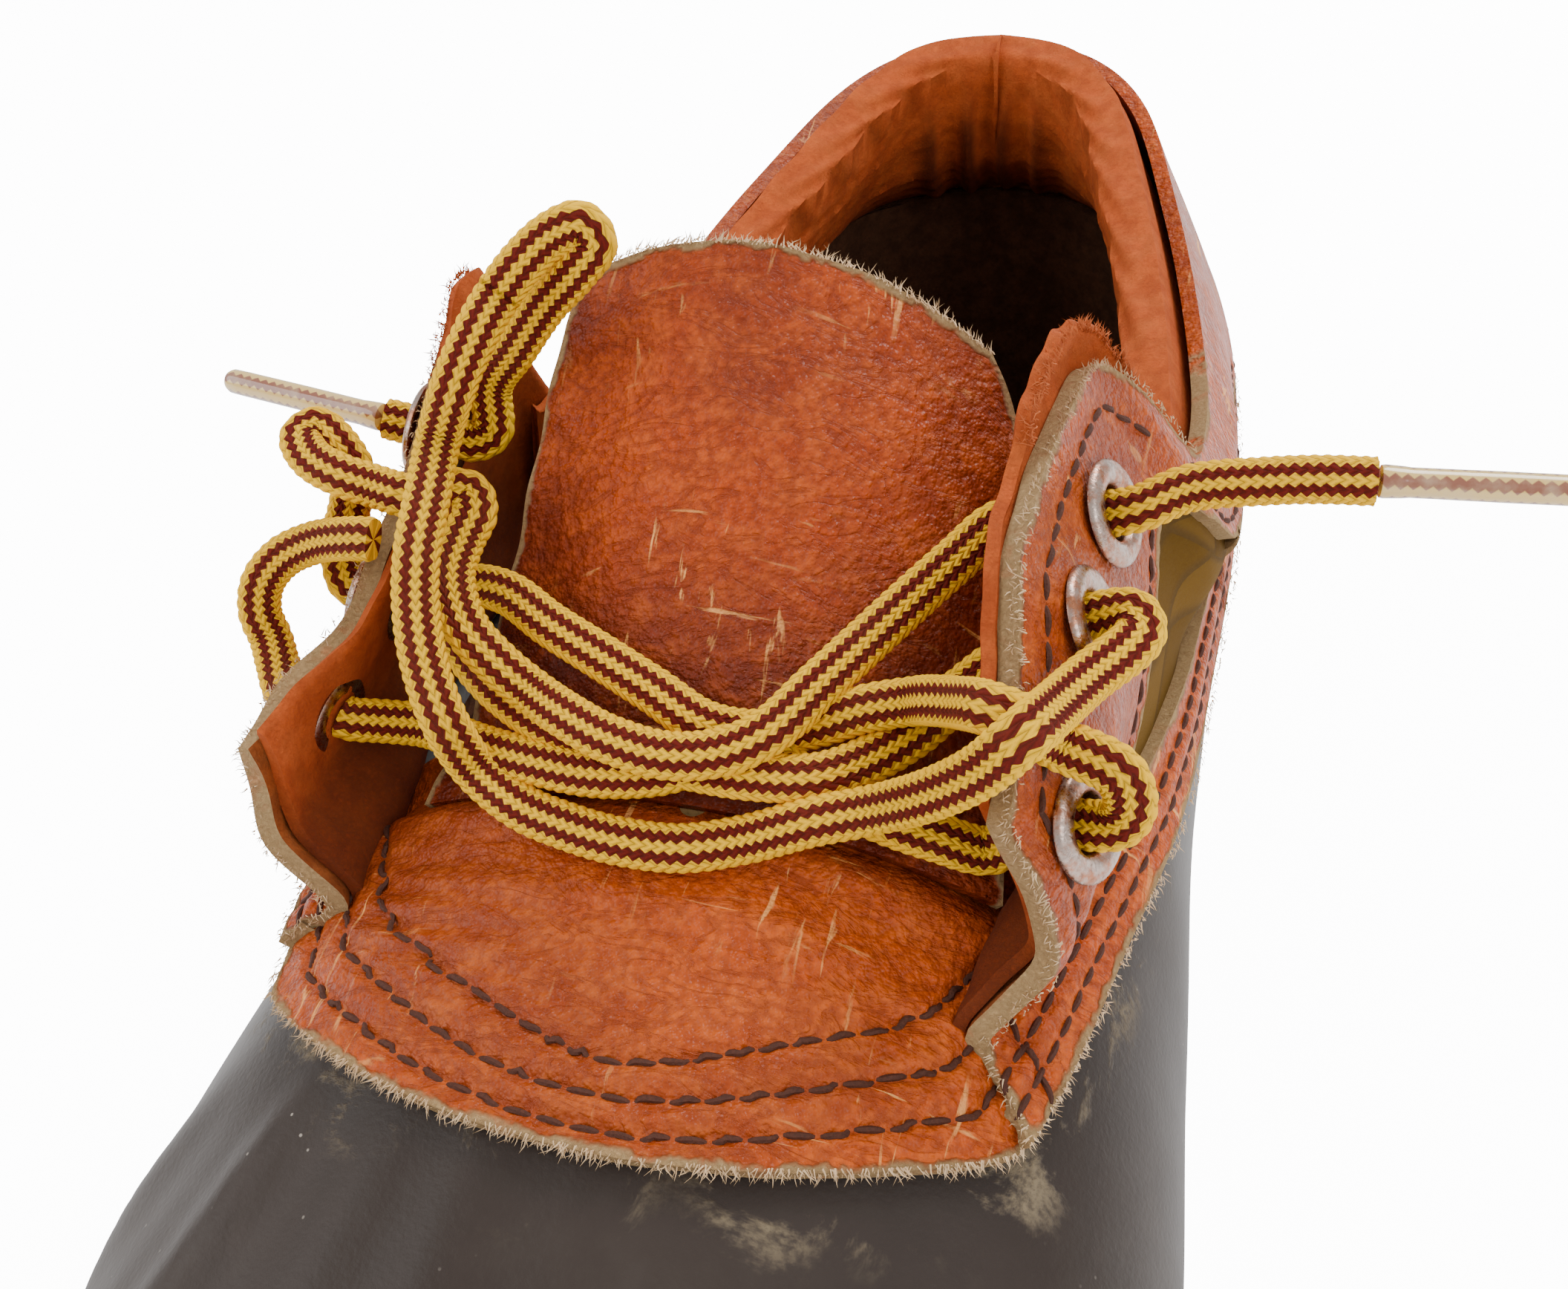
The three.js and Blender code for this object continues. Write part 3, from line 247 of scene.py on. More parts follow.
def hermite(p0, p1, p2, p3, t):
    t = t[..., None]
    a = 0.5 * (p2 - p0)
    b = 0.5 * (p3 - p1)
    return (
        (2 * t**3 - 3 * t**2 + 1) * p1
        + (t**3 - 2 * t**2 + t) * a
        + (3 * t**2 - 2 * t**3) * p2
        + (t**3 - t**2) * b
    )


def smooth(value, low, high):
    t = np.clip((np.asarray(value, float) - low) / (high - low), 0, 1)
    return t * t * (3 - 2 * t)


def mix(a, b, share):
    return a + (b - a) * share


NUMBERED = np.column_stack([np.arange(len(LAST)), LAST])
RIM = np.array(
    [(r[2] * BALL_WIDTH, (r[0] - 0.5) * SHOE_LENGTH) for r in LAST]
    + [(r[1] * BALL_WIDTH, (r[0] - 0.5) * SHOE_LENGTH) for r in LAST[1:-1][::-1]]
)


def rim_at(station, side):
    """Widest line in plan; side is 1 for the outer side and -1 for the inner."""
    station = np.asarray(station, float)
    turn = np.where(np.asarray(side) > 0, station, 2 * HEEL - station) % (2 * HEEL)
    row = np.floor(turn).astype(int)
    picks = [RIM[(row + step) % len(RIM)] for step in (-1, 0, 1, 2)]
    return hermite(*picks, turn - row)


def spine_at(station):
    middle = 0.5 * (rim_at(station, 1) + rim_at(station, -1))
    beyond = np.maximum(0, np.abs(middle[..., 1]) - 60) / (SHOE_LENGTH / 2 - 60)
    middle[..., 1] -= np.sign(middle[..., 1]) * 40 * beyond**2
    return middle


def ridge_at(station):
    return INSTEP_HEIGHT * read(NUMBERED, station, 4)


def edge_base(station):
    return TOP_HEIGHT * read(NUMBERED, station, 5)


def spring_at(y):
    run = np.maximum(0, -np.asarray(y) - (SHOE_LENGTH / 2 - SPRING_RUN)) / SPRING_RUN
    return TOE_SPRING * run**2


def fullness_at(station, side):
    away = smooth(np.minimum(station, HEEL - station), 0, 2.5)
    return mix(2.175, np.where(np.asarray(side) > 0, 2.05, 2.3), away)


def widest_at(station, side):
    return WIDEST_HEIGHT + 0.5 * spring_at(rim_at(station, side)[..., 1])


def skin(station, side, rise):
    rim = rim_at(station, side)
    spine = spine_at(station)
    power = 2 / fullness_at(station, side)
    angle = np.asarray(rise, float) * np.pi / 2
    reach = 1 - np.maximum(0, np.cos(angle)) ** power
    height = np.maximum(0, np.sin(angle)) ** power
    low = widest_at(station, side)
    plan = mix(rim, spine, reach[..., None])
    return np.concatenate([plan, mix(low, ridge_at(station), height)[..., None]], -1)


def unit(vectors):
    return vectors / np.maximum(1e-9, np.linalg.norm(vectors, axis=-1, keepdims=True))


def skin_normal(station, side, rise):
    s = np.clip(station, 0.02, HEEL - 0.02)
    r = np.clip(rise, 0.02, 0.98)
    along = skin(s + 0.01, side, r) - skin(s - 0.01, side, r)
    up = skin(s, side, r + 0.01) - skin(s, side, r - 0.01)
    normal = unit(np.cross(along, up))
    return normal * np.where(np.asarray(side) > 0, 1.0, -1.0)[..., None]


def shell(station, side, rise, offset):
    station, side, rise, offset = np.broadcast_arrays(station, side, rise, offset)
    normal = skin_normal(station, side, rise)
    seam = (rise > 0.999) | (station < 0.001) | (station > HEEL - 0.001)
    both = unit(normal + skin_normal(station, -side, rise))
    normal = np.where(seam[..., None], both, normal)
    return skin(station, side, rise) + normal * offset[..., None]


def rise_at(station, side, height):
    low = widest_at(station, side)
    share = np.clip((height - low) / (ridge_at(station) - low), 0, 1)
    return (2 / np.pi) * np.arcsin(share ** (fullness_at(station, side) / 2))


def sweep(station, front, base):
    y = spine_at(station)[..., 1]
    share = np.clip(1 - (y - front) / EDGE_RUN, 0, 1) ** 1.2
    return base + (ridge_at(station) - base) * share


def leather_edge(station):
    return sweep(station, VAMP_FRONT, edge_base(station))


def rubber_edge(station):
    return sweep(station, VAMP_FRONT + FRONT_OVERLAP, edge_base(station) + SIDE_OVERLAP)


STATION_TABLE = np.linspace(0, HEEL, 4001)
STATION_Y = spine_at(STATION_TABLE)[:, 1]


def station_of(y):
    return np.interp(y, STATION_Y, STATION_TABLE)


# The leather quarters' outer face
def quarter_point(side, station, share):
    station, share = np.broadcast_arrays(np.asarray(station, float), np.asarray(share, float))
    rows = OUTER_QUARTER if side > 0 else INNER_QUARTER
    col = [read(rows, station, i) for i in range(9)]
    offset = FIT + QUARTER_WALL + 0.8 * smooth(5 - station, 0, 0.6)
    rim = rim_at(station, side)
    spine = spine_at(station)
    inward = unit(spine - rim)
    leave = station_of(spine[..., 1] + col[1] * SHOE_LENGTH)
    low = leather_edge(station)
    high = np.maximum(low + 4, col[2] * TOP_HEIGHT)

    def on_skin(part):
        place = np.where(station > HEEL - 2, station, mix(station, leave, part))
        return shell(place, side, rise_at(place, side, mix(low, high, part)), offset)

    def free(reach, up, back):
        plan = rim + inward * (reach * BALL_WIDTH)[..., None]
        plan[..., 1] += back * SHOE_LENGTH
        return np.concatenate([plan, (up * TOP_HEIGHT)[..., None]], -1)

    line = [
        on_skin(0.0), on_skin(0.5), on_skin(1.0),
        free(col[3], col[4], col[5]), free(col[6], col[7], col[8]),
    ]
    line = [2 * line[0] - line[1]] + line + [2 * line[4] - line[3]]
    line = np.stack(line)
    turn = np.clip(share * 4, 0, 4)
    row = np.minimum(np.floor(turn).astype(int), 3)
    index = np.indices(row.shape)
    picks = [line[(row + step, *index)] for step in (0, 1, 2, 3)]
    return hermite(*picks, turn - row)


def place_at(side, station):
    """Place round the heel, -1 at the outer front and 1 at the inner front."""
    front = (OUTER_QUARTER if side > 0 else INNER_QUARTER)[0, 0]
    share = (HEEL - np.asarray(station, float)) / (HEEL - front)
    return -share if side > 0 else share


def station_at(places):
    outer = mix(HEEL, OUTER_QUARTER[0, 0], np.abs(places))
    inner = mix(HEEL, INNER_QUARTER[0, 0], np.abs(places))
    return np.where(places <= 0, outer, inner)


def quarter_grid(places, shares):
    """Rows go up the leather and columns round the heel, from the outer to the inner front."""
    halves = []
    for side in (1, -1):
        part = places[places <= 0] if side > 0 else places[places > 0]
        front = (OUTER_QUARTER if side > 0 else INNER_QUARTER)[0, 0]
        station = mix(HEEL, front, np.abs(part))
        shape = np.broadcast_arrays(station[None], shares[:, None])
        halves.append(quarter_point(side, *shape))
    return np.concatenate(halves, axis=1)


def grid_normals(grid):
    padded_rows = np.concatenate([grid[:1], grid, grid[-1:]])
    along = padded_rows[2:] - padded_rows[:-2]
    padded_cols = np.concatenate([grid[:, :1], grid, grid[:, -1:]], axis=1)
    across = padded_cols[:, 2:] - padded_cols[:, :-2]
    return unit(np.cross(across, along))


# Making pieces
def deselect():
    for thing in bpy.context.selected_objects:
        thing.select_set(False)


def select_only(piece):
    deselect()
    piece.select_set(True)
    bpy.context.view_layer.objects.active = piece


def place_of(points):
    """Frame place in metres of points in the solids' millimetres."""
    return (np.asarray(points, float) + SHIFT) * MM


def lay_grid(name, grid, uv=None, closed=False, fields=None):
    """A primitive grid whose points are laid on a worked-out surface, in the solids' mm."""
    deselect()
    rows, columns = grid.shape[:2]
    bpy.ops.mesh.primitive_grid_add(
        x_subdivisions=columns - 1, y_subdivisions=rows - 1, size=1, calc_uvs=True
    )
    piece = bpy.context.object
    piece.name = name
    piece.data.name = name
    flat = np.empty(len(piece.data.vertices) * 3)
    piece.data.vertices.foreach_get("co", flat)
    flat = flat.reshape(-1, 3)
    column = np.rint((flat[:, 0] + 0.5) * (columns - 1)).astype(int)
    row = np.rint((flat[:, 1] + 0.5) * (rows - 1)).astype(int)
    piece.data.vertices.foreach_set("co", place_of(grid[row, column]).ravel())
    if uv is not None:
        loops = np.empty(len(piece.data.loops), int)
        piece.data.loops.foreach_get("vertex_index", loops)
        values = uv[row[loops], column[loops]]
        piece.data.uv_layers[0].data.foreach_set("uv", values.ravel())
    for label, values in (fields or {}).items():
        field = piece.data.attributes.new(label, "FLOAT", "POINT")
        field.data.foreach_set("value", np.asarray(values, float)[row, column])
    if closed:
        merge(piece)
    piece.data.update()
    return piece


def merge(piece, distance=1e-6):
    select_only(piece)
    bpy.ops.object.mode_set(mode="EDIT")
    bpy.ops.mesh.select_all(action="SELECT")
    bpy.ops.mesh.remove_doubles(threshold=distance)
    bpy.ops.object.mode_set(mode="OBJECT")


def face_outwards(piece):
    select_only(piece)
    bpy.ops.object.mode_set(mode="EDIT")
    bpy.ops.mesh.select_all(action="SELECT")
    bpy.ops.mesh.normals_make_consistent(inside=False)
    bpy.ops.object.mode_set(mode="OBJECT")


def apply_all(piece):
    select_only(piece)
    for modifier in list(piece.modifiers):
        bpy.ops.object.modifier_apply(modifier=modifier.name)


def thicken(piece, wall, finishes):
    """Gives a sheet its wall; the first finish is its face, the second its inside."""
    piece.data.materials.clear()
    for finish in finishes:
        piece.data.materials.append(finish)
    solidify = piece.modifiers.new("wall", "SOLIDIFY")
    solidify.material_offset = len(finishes) - 1
    solidify.thickness = wall * MM
    solidify.offset = -1.0
    solidify.use_rim = True
    apply_all(piece)


def cut(piece, cutters):
    for cutter in cutters:
        boolean = piece.modifiers.new("cut", "BOOLEAN")
        boolean.operation = "DIFFERENCE"
        boolean.solver = "MANIFOLD"
        boolean.object = cutter
        apply_all(piece)
        bpy.data.objects.remove(cutter, do_unlink=True)


def join(name, parts):
    deselect()
    for part in parts:
        part.select_set(True)
    bpy.context.view_layer.objects.active = parts[0]
    if len(parts) > 1:
        bpy.ops.object.join()
    piece = bpy.context.object
    piece.name = name
    piece.data.name = name
    return piece


def smooth_faces(piece, angle=math.radians(40)):
    select_only(piece)
    bpy.ops.object.shade_smooth_by_angle(angle=angle)


def finish_piece(piece, finish, nodes=(), angle=math.radians(40)):
    """Gives a piece its finish, its body and the solids it stands for."""
    smooth_faces(piece, angle)
    if finish:
        piece.data.materials.clear()
        piece.data.materials.append(finish)
    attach(piece, "root")
    if nodes:
        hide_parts(*nodes)
    deselect()
    return piece


def ripple(places, size, seed=0):
    """Soft, even unevenness between -1 and 1 at places in mm, with lumps of about that size."""
    p = np.asarray(places, float) / size * 2.2
    total = np.zeros(p.shape[:-1])
    for step in range(5):
        turn = seed * 2.17 + step * 1.93
        way = np.array([math.sin(turn * 3.1), math.cos(turn * 2.3), math.sin(turn * 1.7 + 1)])
        total += np.sin(p @ (way * (1 + 0.35 * step)) + turn * 5.3)
    return total / 5


def stack_tube(path, rings):
    """Grid of a tube from its rings, with its ends drawn in to a point."""
    grid = np.concatenate([rings, rings[:, :1]], axis=1)
    first = np.broadcast_to(path[0], grid[0].shape)
    last = np.broadcast_to(path[-1], grid[0].shape)
    return np.concatenate([first[None], grid, last[None]])


# The lace: one strand through all its points, cut where its runs meet
LACE_FACES = np.array((42.7, -115.7, 181.3))
BRAID_PITCH = 1.15


def spline(points, step):
    """Centripetal curve through points in mm, in even steps; also each point's length along."""
    points = np.asarray(points, float)
    ends = np.vstack([2 * points[0] - points[1], points, 2 * points[-1] - points[-2]])
    knots = np.concatenate([[0], np.cumsum(np.linalg.norm(np.diff(ends, axis=0), axis=1) ** 0.5)])
    parts = []
    for i in range(1, len(ends) - 2):
        t = np.linspace(knots[i], knots[i + 1], 24, endpoint=False)[:, None]
        k = knots[i - 1 : i + 3]
        p = ends[i - 1 : i + 3]
        a = [((k[j + 1] - t) * p[j] + (t - k[j]) * p[j + 1]) / (k[j + 1] - k[j]) for j in (0, 1, 2)]
        b = [((k[j + 2] - t) * a[j] + (t - k[j]) * a[j + 1]) / (k[j + 2] - k[j]) for j in (0, 1)]
        parts.append(((k[2] - t) * b[0] + (t - k[1]) * b[1]) / (k[2] - k[1]))
    dense = np.vstack(parts + [points[-1:]])
    length = run_length(dense)
    marks = length[np.minimum(np.arange(len(points)) * 24, len(length) - 1)]
    count = int(round(length[-1] / step))
    even = np.linspace(0, length[-1], count + 1)
    path = along_run(even, length, dense)
    return path, even, marks


def sized(points):
    return np.asarray(points, float) * (BALL_WIDTH, SHOE_LENGTH, TOP_HEIGHT)


def lace_strand(step):
    """The whole strand's path, with the start and end length of each named run."""
    runs = [
        ("lace_end_inner", sized(CORDS["lace_end_inner"])[::-1]),
        ("overFlap", sized(CROSSINGS["overFlap"])[1:]),
        ("lowRun", sized(CROSSINGS["lowRun"])),
        ("lace_loop_lower", sized(CORDS["lace_loop_lower"])[1:]),
        ("bar", sized(CROSSINGS["bar"])),
        ("backRun", sized(CROSSINGS["backRun"])),
        ("lace_loop_upper", sized(CORDS["lace_loop_upper"])),
        ("bow", sized(CROSSINGS["bow"])[1:]),
        ("lace_end_outer", sized(CORDS["lace_end_outer"])),
    ]
    path, even, marks = spline(np.vstack([points for _, points in runs]), step)
    spans = {}
    first = 0
    for name, points in runs:
        spans[name] = (marks[first], marks[first + len(points) - 1])
        first += len(points)
    return path, even, spans


def along_frames(path, towards):
    """Tangent, broad side's normal and width direction at each step of a path."""
    tangent = unit(np.gradient(path, axis=0))
    normal = towards - path
    normal = unit(normal)
    normal = normal - tangent * np.sum(normal * tangent, axis=1, keepdims=True)
    for i in range(1, len(path)):
        if np.dot(normal[i], normal[i - 1]) < 0:
            normal[i] = -normal[i]
    window = 25
    kernel = np.hanning(2 * window + 1)
    kernel /= kernel.sum()
    padded = np.pad(normal, ((window, window), (0, 0)), mode="edge")
    normal = np.column_stack([np.convolve(padded[:, i], kernel, "valid") for i in range(3)])
    normal = unit(normal - tangent * np.sum(normal * tangent, axis=1, keepdims=True))
    return tangent, normal, unit(np.cross(normal, tangent))


def braid_tube(name, path, even, frames, width, thick):
    """A flat oval braid: chevron stitches stand up from it all along."""
    around = 28
    turn = np.linspace(0, 2 * np.pi, around, endpoint=False)
    power = 2 / 2.4
    wide = np.sign(np.cos(turn)) * np.abs(np.cos(turn)) ** power * width / 2
    high = np.sign(np.sin(turn)) * np.abs(np.sin(turn)) ** power * thick / 2
    across = np.abs(wide) / (width / 2)
    over = (1 - np.sign(wide) * across) / 4
    under = 0.5 + (1 + np.sign(wide) * across) / 4
    columns = np.where(turn < np.pi, over, under)
    columns = np.append(columns, 1.0)
    rib = np.abs(((1 - across) * 2.5) % 1 - 0.5) * 2
    stitch = np.abs(np.sin(np.pi * (even[:, None] / BRAID_PITCH + 0.8 * rib[None])))
    swell = 1 + 0.075 * (stitch - 0.5) + 0.02 * np.cos(8 * turn)[None]
    _, normal, side = frames
    rings = (
        path[:, None]
        + side[:, None] * (wide[None] * swell)[..., None]
        + normal[:, None] * (high[None] * (swell + 0.06 * (stitch - 0.5)))[..., None]
    )
    grid = stack_tube(path, rings)
    along = np.concatenate([[even[0]], even, [even[-1]]])
    uv = np.stack(np.broadcast_arrays(along[:, None] * 0.1, columns[None]), -1)
    return lay_grid(name, grid, uv, closed=True)


def lace_pieces(props):
    path, even, spans = lace_strand(props.lace_step / MM)
    frames = along_frames(path, LACE_FACES)
    width = props.lace_width / MM
    thick = props.lace_thickness / MM

    def stretch(name, first, last):
        pick = (even >= first - 1e-6) & (even <= last + 1e-6)
        part = tuple(item[pick] for item in frames)
        piece = braid_tube(name, path[pick], even[pick], part, width, thick)
        return piece, path[pick]

    finish = lace_finish(props)
    tubes = [
        stretch("run", spans["lace_end_inner"][1] - 0.8, spans["lowRun"][1])[0],
        stretch("run", spans["bar"][0] - 1, spans["backRun"][1] + 1)[0],
        stretch("run", spans["bow"][0], spans["bow"][1] - 3)[0],
    ]
    run = join("lace_over_tongue", tubes)
    finish_piece(run, finish, ["lace_crossings"])
    aglets = {name: aglet_piece(name, props) for name in AGLETS}
    ends = {
        "lace_end_inner": (("aglet_inner",), "fitting", "loose"),
        "lace_loop_upper": ((), "object", "hanging"),
        "lace_loop_lower": ((), "object", "hanging"),
        "lace_end_outer": (("aglet_outer",), "fitting", "loose"),
    }
    for name, (fittings, far_end, lay) in ends.items():
        first, last = spans[name]
        if name == "lace_end_outer":
            first = spans["bow"][1] - 3
        piece, line = stretch(name + "_braid", first, last)
        finish_piece(piece, finish, [name])
        if name == "lace_end_inner":
            line = line[::-1]
        line = place_of(line)


def aglet_piece(name, props):
    """A clear sleeve pressed on the lace's end, a little waisted where it grips."""
    ends = sized(AGLETS[name])
    way = unit(ends[1] - ends[0])
    side = unit(np.cross(way, (0, 0, 1)))
    up = np.cross(side, way)
    length = np.linalg.norm(ends[1] - ends[0])
    share = np.array([0, 0.004, 0.02, 0.1, 0.13, 0.5, 0.9, 0.97, 0.99, 1.0])
    widths = np.array([0.8, 1.02, 1.06, 1.0, 0.95, 0.97, 0.95, 0.93, 0.8, 0.7])
    radius = props.aglet_width / MM / 2 * widths
    path = ends[0] + np.outer(share * length, way)
    turn = np.linspace(0, 2 * np.pi, 24, endpoint=False)
    rings = (
        path[:, None]
        + side * (np.cos(turn)[None] * radius[:, None])[..., None]
        + up * (np.sin(turn)[None] * radius[:, None])[..., None]
    )
    grid = stack_tube(path, rings)
    along = np.concatenate([[0], share, [1]]) * length
    uv = np.stack(np.broadcast_arrays(along[:, None] * 0.1, np.linspace(0, 1, 25)[None]), -1)
    piece = lay_grid(name + "_sleeve", grid, uv, closed=True)
    return finish_piece(piece, aglet_finish(), [name])


# Finishes
def linear(colour):
    """Scene colour of a screen colour with parts from 0 to 255."""
    parts = [part / 255 for part in colour]
    return tuple(p / 12.92 if p <= 0.04045 else ((p + 0.055) / 1.055) ** 2.4 for p in parts) + (1.0,)


class Web:
    """Short hand for placing and wiring the nodes of one tree."""

    def __init__(self, tree):
        self.tree = tree

    def node(self, kind, **values):
        node = self.tree.nodes.new(kind)
        for key, value in values.items():
            setattr(node, key, value)
        return node

    def put(self, socket, value):
        if isinstance(value, bpy.types.NodeSocket):
            self.tree.links.new(value, socket)
        else:
            socket.default_value = value

    def math(self, operation, a, b=0.0):
        node = self.node("ShaderNodeMath", operation=operation)
        self.put(node.inputs[0], a)
        self.put(node.inputs[1], b)
        return node.outputs[0]

    def noise(self, vector, scale, detail=3.0, rough=0.55, warp=0.0):
        node = self.node("ShaderNodeTexNoise")
        self.put(node.inputs["Vector"], vector)
        self.put(node.inputs["Scale"], scale)
        self.put(node.inputs["Detail"], detail)
        self.put(node.inputs["Roughness"], rough)
        self.put(node.inputs["Distortion"], warp)
        return node.outputs["Fac"]

    def cells(self, vector, scale, feature="F1", blur=1.0):
        node = self.node("ShaderNodeTexVoronoi", feature=feature)
        self.put(node.inputs["Vector"], vector)
        self.put(node.inputs["Scale"], scale)
        if feature == "SMOOTH_F1":
            self.put(node.inputs["Smoothness"], blur)
        return node.outputs["Distance"]

    def range(self, value, low, high, to_low=0.0, to_high=1.0):
        node = self.node("ShaderNodeMapRange", interpolation_type="SMOOTHSTEP")
        for i, item in enumerate((value, low, high, to_low, to_high)):
            self.put(node.inputs[i], item)
        return node.outputs[0]

    def mix(self, share, a, b):
        node = self.node("ShaderNodeMix", data_type="RGBA")
        self.put(node.inputs[0], share)
        self.put(node.inputs[6], a)
        self.put(node.inputs[7], b)
        return node.outputs[2]

    def tint(self, tone, mask, strength, colour):
        """A tone with a share of another colour where a mask is."""
        return self.mix(self.math("MULTIPLY", mask, strength), tone, colour)

    def mix_value(self, share, a, b):
        node = self.node("ShaderNodeMix", data_type="FLOAT")
        self.put(node.inputs[0], share)
        self.put(node.inputs[2], a)
        self.put(node.inputs[3], b)
        return node.outputs[0]

    def place(self, scale=(1, 1, 1), turn=(0, 0, 0), source="Object"):
        coords = self.node("ShaderNodeTexCoord")
        if source == "UV":
            return coords.outputs["UV"]
        mapping = self.node("ShaderNodeMapping")
        self.put(mapping.inputs["Vector"], coords.outputs[source])
        mapping.inputs["Scale"].default_value = scale
        mapping.inputs["Rotation"].default_value = turn
        return mapping.outputs[0]

    def split(self, vector):
        node = self.node("ShaderNodeSeparateXYZ")
        self.put(node.inputs[0], vector)
        return node.outputs

    def effect(self, tree, **values):
        node = self.node("ShaderNodeGroup")
        node.node_tree = tree
        for key, value in values.items():
            self.put(node.inputs[key.replace("_", " ")], value)
        return node.outputs


def effect_group(name, inputs, outputs, build):
    """A node group with named inputs and outputs, made once."""
    tree = bpy.data.node_groups.get(name)
    if tree:
        return tree
    tree = bpy.data.node_groups.new(name, "ShaderNodeTree")
    for label, default in inputs.items():
        socket = tree.interface.new_socket(label, in_out="INPUT", socket_type="NodeSocketFloat")
        socket.default_value = default
    for label, kind in outputs.items():
        tree.interface.new_socket(label, in_out="OUTPUT", socket_type=kind)
    web = Web(tree)
    start = web.node("NodeGroupInput")
    end = web.node("NodeGroupOutput")
    for label, value in build(web, start.outputs).items():
        web.put(end.inputs[label], value)
    return tree


FLOAT = "NodeSocketFloat"


def grain_group():
    """Pebbled hide: small cells, finer pores and shallow creases."""
    def build(web, given):
        place = web.place()
        warp = web.noise(place, 350.0, 2.0)
        pebbles = web.cells(place, given["Scale"], "SMOOTH_F1", 0.7)
        pores = web.cells(place, web.math("MULTIPLY", given["Scale"], 2.3))
        creases = web.noise(web.place((1, 2.6, 1)), 120.0, 5.0, 0.6, 1.2)
        fold = web.math("ABSOLUTE", web.math("SUBTRACT", creases, 0.5))
        fold = web.range(fold, 0.0, 0.05)
        height = web.math("ADD", web.math("MULTIPLY", pebbles, -0.6), web.math("MULTIPLY", pores, -0.25))
        height = web.math("ADD", height, web.math("MULTIPLY", warp, 0.3))
        height = web.math("ADD", height, web.math("MULTIPLY", fold, given["Creases"]))
        # The hollows output paints shade into the valleys between the pebbles.
        return {"Height": height, "Hollow shade": web.range(pebbles, 0.2, 0.75), "Creases": fold}
    return effect_group(
        "Hide grain", {"Scale": 1100.0, "Creases": 0.12},
        {"Height": FLOAT, "Hollow shade": FLOAT, "Creases": FLOAT}, build,
    )


def wear_group():
    """Uneven handling: broad patches, small mottling and fine light scratches."""
    def build(web, given):
        place = web.place()
        patches = web.range(web.noise(place, given["Patches"], 3.0), 0.36, 0.66)
        mottle = web.range(web.noise(place, 260.0, 5.0, 0.65), 0.35, 0.7)
        streak = web.noise(web.place((9, 1, 2), (0.2, 0.1, 0.6)), 75.0, 4.0, 0.6, 0.6)
        other = web.noise(web.place((1, 8, 2), (0.1, 0.3, -0.5)), 60.0, 4.0, 0.6, 0.8)
        field = web.range(web.noise(place, 42.0, 2.0), 0.45, 0.58)
        scratch = web.math("MAXIMUM", web.range(streak, 0.61, 0.69), web.range(other, 0.62, 0.7))
        return {"Patches": patches, "Mottle": mottle, "Scratches": web.math("MULTIPLY", scratch, field)}
    return effect_group(
        "Handling wear", {"Patches": 28.0},
        {"Patches": FLOAT, "Mottle": FLOAT, "Scratches": FLOAT}, build,
    )


def nap_group():
    """Short brushed fibres of suede, felt and raw hide."""
    def build(web, given):
        place = web.place()
        fibre = web.noise(place, given["Scale"], 6.0, 0.75, 0.8)
        clumps = web.noise(place, web.math("MULTIPLY", given["Scale"], 0.16), 3.0)
        height = web.math("ADD", fibre, web.math("MULTIPLY", clumps, 0.7))
        return {"Height": height, "Clumps": web.range(clumps, 0.35, 0.68), "Fibre": fibre}
    return effect_group(
        "Nap", {"Scale": 2600.0}, {"Height": FLOAT, "Clumps": FLOAT, "Fibre": FLOAT}, build,
    )


def dust_group():
    """Specks and soft film of dust."""
    def build(web, given):
        place = web.place()
        speck = web.cells(place, given["Specks"])
        rare = web.range(web.noise(place, 95.0, 1.0), 0.55, 0.7)
        specks = web.math("MULTIPLY", web.range(speck, 0.11, 0.05), rare)
        film = web.range(web.noise(place, 33.0, 6.0, 0.7), 0.45, 0.8)
        return {"Specks": specks, "Film": film}
    return effect_group("Dust", {"Specks": 420.0}, {"Specks": FLOAT, "Film": FLOAT}, build)


def start_finish(name, roughness, metallic=0.0, **shader_values):
    """A new material with its web of nodes and its shader."""
    finish = bpy.data.materials.new(name)
    finish.use_nodes = True
    tree = finish.node_tree
    tree.nodes.clear()
    web = Web(tree)
    shader = web.node("ShaderNodeBsdfPrincipled")
    out = web.node("ShaderNodeOutputMaterial")
    tree.links.new(shader.outputs[0], out.inputs[0])
    shader.inputs["Roughness"].default_value = roughness
    shader.inputs["Metallic"].default_value = metallic
    for key, value in shader_values.items():
        shader.inputs[key.replace("_", " ")].default_value = value
    return finish, web, shader


def bump(web, shader, height, depth):
    node = web.node("ShaderNodeBump")
    node.inputs["Strength"].default_value = 1.0
    node.inputs["Distance"].default_value = depth
    web.put(node.inputs["Height"], height)
    web.put(shader.inputs["Normal"], node.outputs[0])


def raw_edge(web, shader, tone, rough):
    """Cream, rough hide where the sheet's own "edge" values, in mm, are small."""
    field = web.node("ShaderNodeAttribute", attribute_name="edge")
    nap = web.effect(nap_group(), Scale=1900.0)
    place = web.math("ADD", field.outputs["Fac"], web.math("MULTIPLY", nap["Clumps"], 0.7))
    mask = web.range(place, 1.25, 0.55)
    cream = web.mix(nap["Fibre"], linear((132, 92, 52)), linear((240, 202, 146)))
    web.put(shader.inputs["Base Color"], web.mix(mask, tone, cream))
    web.put(shader.inputs["Roughness"], web.mix_value(mask, rough, 0.95))
    return nap, mask


HIDE_ROUGHNESS = 0.38


